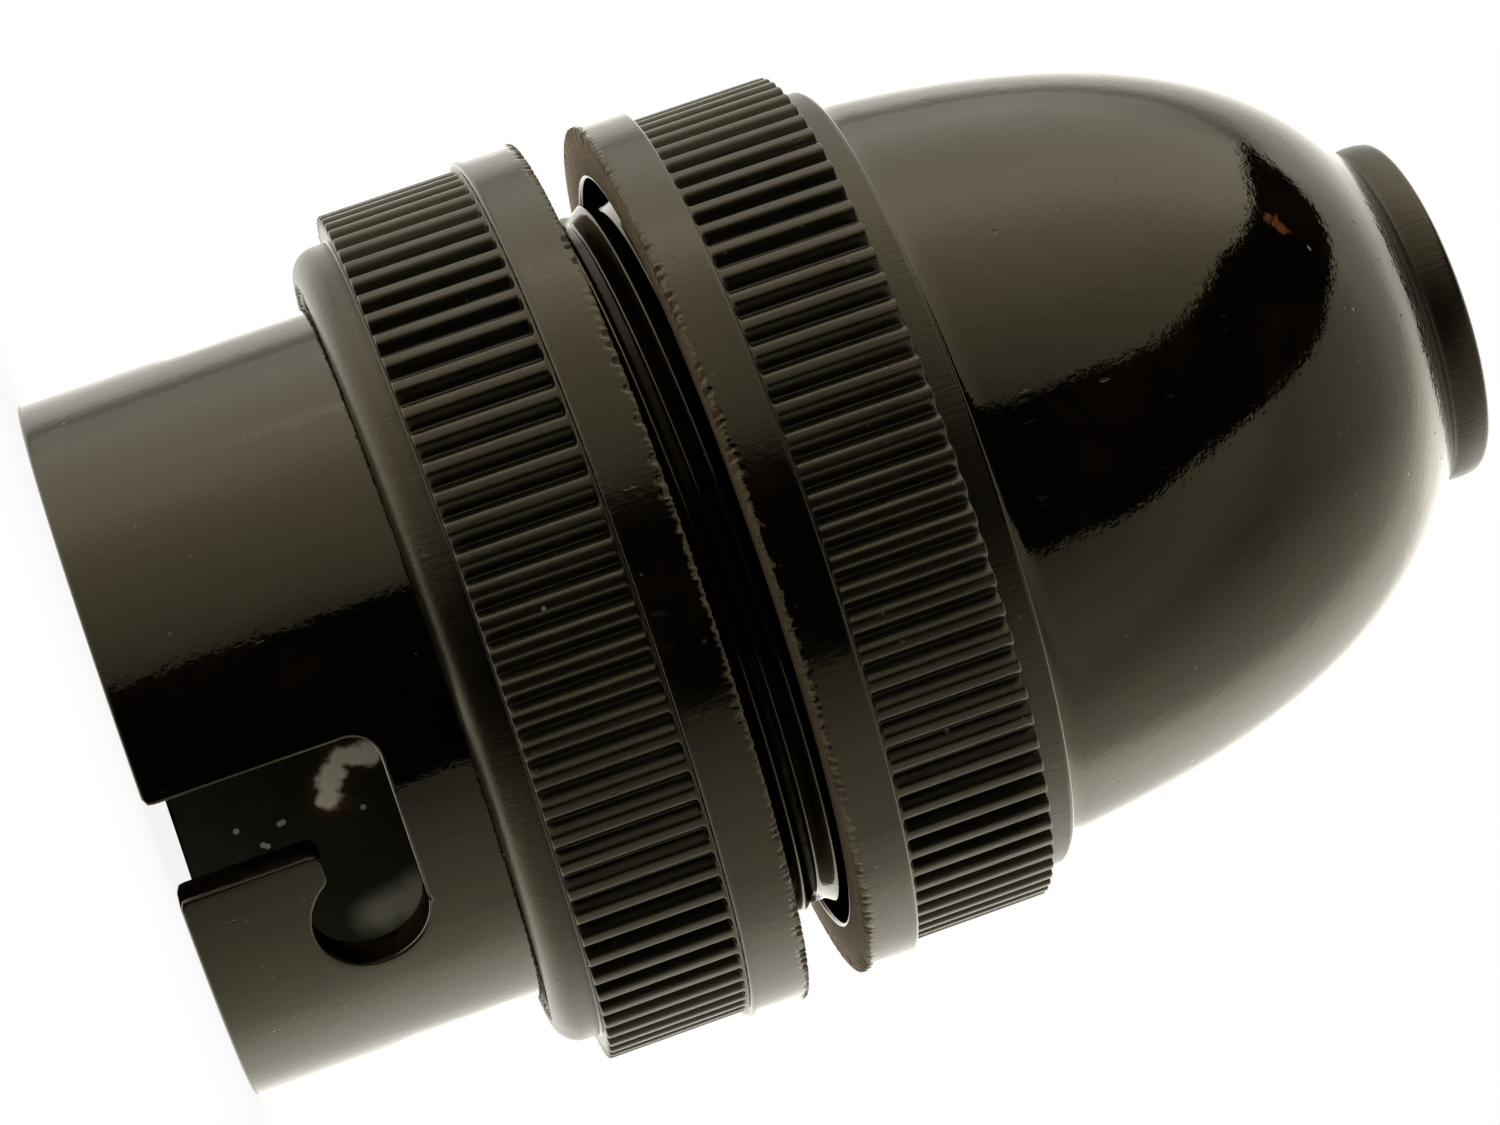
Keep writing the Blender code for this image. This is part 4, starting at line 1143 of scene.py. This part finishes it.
# Brightness of the tent by the angle from the camera's side, and the upper and lower edge of the dark opening
# by the angle round to the lip's side, all angles in degrees
LIGHT_STOPS = (
    (20.0, 0.20), (30.0, 0.30), (37.0, 0.46), (45.0, 0.57), (53.0, 0.65), (60.0, 0.74), (68.0, 0.82),
    (76.0, 0.93), (85.0, 1.10), (96.0, 1.48), (108.0, 1.58), (120.0, 1.50), (130.0, 1.42), (160.0, 1.42))
OPENING_TOP = (
    (-30.0, 20.5), (4.0, 20.5), (21.0, 12.0), (28.0, 13.0), (38.0, 14.0), (50.0, 22.1), (61.0, 29.7),
    (70.5, 31.7), (82.0, 34.9), (98.0, 39.0), (113.0, 39.0), (124.0, 36.8))
OPENING_FOOT = (
    (-30.0, -37.0), (4.0, -37.0), (33.0, -28.0), (40.0, -20.2), (51.0, -12.3), (58.5, -7.2), (69.0, 0.2),
    (78.0, 8.3), (89.5, 15.5), (98.5, 21.5), (104.0, 25.5), (109.0, 30.5), (114.0, 35.1), (124.0, 38.0))
# Brightness across the seam between the tent's roof and its back, by the drop below the seam
SEAM_STOPS = (
    (-0.20, 1.03), (-0.12, 0.95), (-0.06, 0.74), (-0.012, 0.68), (0.004, 0.44), (0.03, 0.46), (0.06, 0.56),
    (0.10, 0.82), (0.15, 0.93), (0.30, 0.90), (0.62, 1.20), (1.0, 1.35))
# Ranges of the tables' levels, colour of the tent and brightness of its floor
BRIGHTNESS, DEGREES = (0.0, 2.0), (-60.0, 60.0)
TENT_TINT, TENT_FLOOR = (1.0, 0.975, 0.91), 1.35
# Angle at which the opening ends on the mouth's side, and gains of the light beside the lip and above it
OPENING_END, RIM_GAIN, FLANK_GAIN = -75.0, 0.5, 0.22
# Height of the seam at the object's middle, how it falls toward the lip's side, and its least height
SEAM_HEIGHT, SEAM_FALL, SEAM_LEAST = 0.80, -0.46, 0.64


def stepped(w, value, stops, low, high):
    """Straight-line table: value to level, through a colour ramp scaled from low to high on both sides."""
    first, last = stops[0][0], stops[-1][0]
    ramp = w.node("ValToRGB", w.math("DIVIDE", w.minus(value, first), last - first))
    for index, (at, level) in enumerate(stops):
        position = (at - first) / (last - first)
        stop = ramp.color_ramp.elements[index] if index < 2 else ramp.color_ramp.elements.new(position)
        stop.position = position
        stop.color = (*[(level - low) / (high - low)] * 3, 1.0)
    return w.times_plus(ramp.outputs["Color"], high - low, low)


def room_light(scene):
    """Soft tent of light: brightness grows with the angle from the camera's side, with a dark opening round
    the camera and a lit backdrop behind. White to the camera itself.

    The photograph's up is -X here, and its right, the lip's side, is +Z."""
    world = bpy.data.worlds.new("light_tent")
    scene.world = world
    world.use_nodes = True
    world.node_tree.nodes.clear()
    w = Wires(world.node_tree)
    x, y, z = w.node("SeparateXYZ", w.node("TexCoord").outputs["Generated"]).outputs
    front, rise = w.times(y, -1.0), w.times(x, -1.0)
    away = w.math("DEGREES", w.math("ARCCOSINE", front))
    lift = w.math("DEGREES", w.math("ARCSINE", rise))
    round_to = w.math("DEGREES", w.math("ARCTAN2", z, front))
    # Distance in degrees past the opening's upper edge, its lower edge and its end on the mouth's side
    over = w.minus(lift, stepped(w, round_to, OPENING_TOP, *DEGREES))
    under = w.minus(stepped(w, round_to, OPENING_FOOT, *DEGREES), lift)
    past = w.minus(OPENING_END, round_to)
    outside = w.most(w.ramp(over, -1.0, 1.0), w.ramp(under, -1.0, 1.0))
    outside = w.most(outside, w.ramp(past, -10.0, 20.0))
    # Brightness, less low down and just under the opening, more beside the lip and high on its side
    level = stepped(w, w.times_plus(rise, 20.0, away), LIGHT_STOPS, *BRIGHTNESS)
    aside = w.window(round_to, 50.0, 95.0, 150.0, 172.0)
    low_side = w.blend(aside, w.ramp(rise, -0.75, -0.25, 0.74, 1.0), 1.0)
    below = w.times(w.ramp(under, -1.0, 1.0), w.window(round_to, 45.0, 60.0, 104.0, 116.0))
    dim = w.blend(below, 1.0, w.ramp(under, 30.0, 60.0, 0.72, 1.0))
    rim = w.times(w.ramp(round_to, 112.0, 132.0), w.ramp(w.math("ABSOLUTE", lift), 30.0, 18.0))
    dim = w.times(dim, w.times_plus(rim, RIM_GAIN, 1.0))
    flank = w.times(w.window(round_to, 15.0, 40.0, 70.0, 120.0), w.ramp(rise, 0.45, 0.7))
    level = w.times(w.times(level, w.times_plus(flank, FLANK_GAIN, 1.0)), w.times(low_side, dim))
    # Backdrop with its seam, and the tent's floor, both behind the object
    edge = w.most(w.times_plus(z, SEAM_FALL, SEAM_HEIGHT), SEAM_LEAST)
    seam = stepped(w, w.minus(edge, rise), SEAM_STOPS, *BRIGHTNESS)
    backdrop = w.blend(w.ramp(y, 0.25, 0.45), 1.0, seam)
    beside = w.window(round_to, 35.0, 60.0, 150.0, 172.0)
    floor = w.times(w.minus(1.0, beside), w.ramp(rise, -0.05, -0.2))
    backdrop = w.blend(floor, backdrop, TENT_FLOOR)
    tint = w.node("CombineColor", *(w.times(level, part) for part in TENT_TINT)).outputs[0]
    tent = w.node("Background", tint, w.times(outside, backdrop)).outputs[0]
    white = w.node("Background", (1.0, 1.0, 1.0, 1.0)).outputs[0]
    w.node("OutputWorld", w.either(w.node("LightPath").outputs["Is Camera Ray"], tent, white))


def photo_camera(stage):
    """Camera of the photograph: it looks along +Y with a tilt, its right turned from +Z by the roll."""
    lens = bpy.data.cameras.new("photo_camera")
    lens.sensor_width = SENSOR
    lens.lens = PHOTO_FOCAL * SENSOR / PHOTO_WIDTH
    lens.clip_start, lens.clip_end = 0.01, 20.0
    camera = put_object("photo_camera", lens)
    forward = Vector((0.0, math.cos(stage.tilt), math.sin(stage.tilt)))
    level = Vector((0.0, -math.sin(stage.tilt), math.cos(stage.tilt)))
    side = Vector((1.0, 0.0, 0.0))
    right = math.cos(stage.roll) * level + math.sin(stage.roll) * side
    up = math.sin(stage.roll) * level - math.cos(stage.roll) * side
    place = Matrix((right, up, -forward)).transposed().to_4x4()
    place.translation = stage.camera_place
    camera.matrix_world = place
    bpy.context.scene.camera = camera


class OBJECT_OT_lampholder_stage(bpy.types.Operator):
    """Set the camera, the floor and the light."""

    bl_idname = "object.lampholder_stage"
    bl_label = "Stage"

    def execute(self, context):
        stage = context.scene.lampholder_stage
        floor = floor_disc(stage.floor_size)
        floor.data.materials.append(floor_material())
        room_light(context.scene)
        photo_camera(stage)
        context.scene.view_settings.view_transform = "Standard"
        return {"FINISHED"}


OPERATORS = (
    OBJECT_OT_lampholder_stage, OBJECT_OT_lampholder_barrel, OBJECT_OT_lampholder_ring,
    OBJECT_OT_lampholder_dome, OBJECT_OT_lampholder_contacts, OBJECT_OT_lampholder_inner)


class VIEW3D_PT_lampholder(bpy.types.Panel):
    """Lists the sizes, the finishes and the pieces."""

    bl_idname = "VIEW3D_PT_lampholder"
    bl_label = "Lampholder"
    bl_space_type = "VIEW_3D"
    bl_region_type = "UI"
    bl_category = "Lampholder"

    def draw(self, context):
        layout, scene = self.layout, context.scene
        for group in (scene.lampholder_sizes, scene.lampholder_finish, scene.lampholder_stage):
            column = layout.column()
            for name in group.__annotations__:
                column.prop(group, name)
        for operator in OPERATORS:
            layout.operator(operator.bl_idname)


CLASSES = (LampholderSizes, LampholderFinish, LampholderStage, *OPERATORS, VIEW3D_PT_lampholder)


def register():
    """Adds the classes and the scene's settings."""
    for item in CLASSES:
        bpy.utils.register_class(item)
    bpy.types.Scene.lampholder_sizes = bpy.props.PointerProperty(type=LampholderSizes)
    bpy.types.Scene.lampholder_finish = bpy.props.PointerProperty(type=LampholderFinish)
    bpy.types.Scene.lampholder_stage = bpy.props.PointerProperty(type=LampholderStage)


def unregister():
    """Takes the settings and the classes out again."""
    del bpy.types.Scene.lampholder_stage
    del bpy.types.Scene.lampholder_finish
    del bpy.types.Scene.lampholder_sizes
    for item in reversed(CLASSES):
        bpy.utils.unregister_class(item)


def main():
    """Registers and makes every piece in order."""
    register()
    bpy.ops.object.lampholder_stage()
    bpy.ops.object.lampholder_barrel()
    bpy.ops.object.lampholder_ring()
    bpy.ops.object.lampholder_dome()
    bpy.ops.object.lampholder_contacts()
    bpy.ops.object.lampholder_inner()


if __name__ == "__main__":
    main()
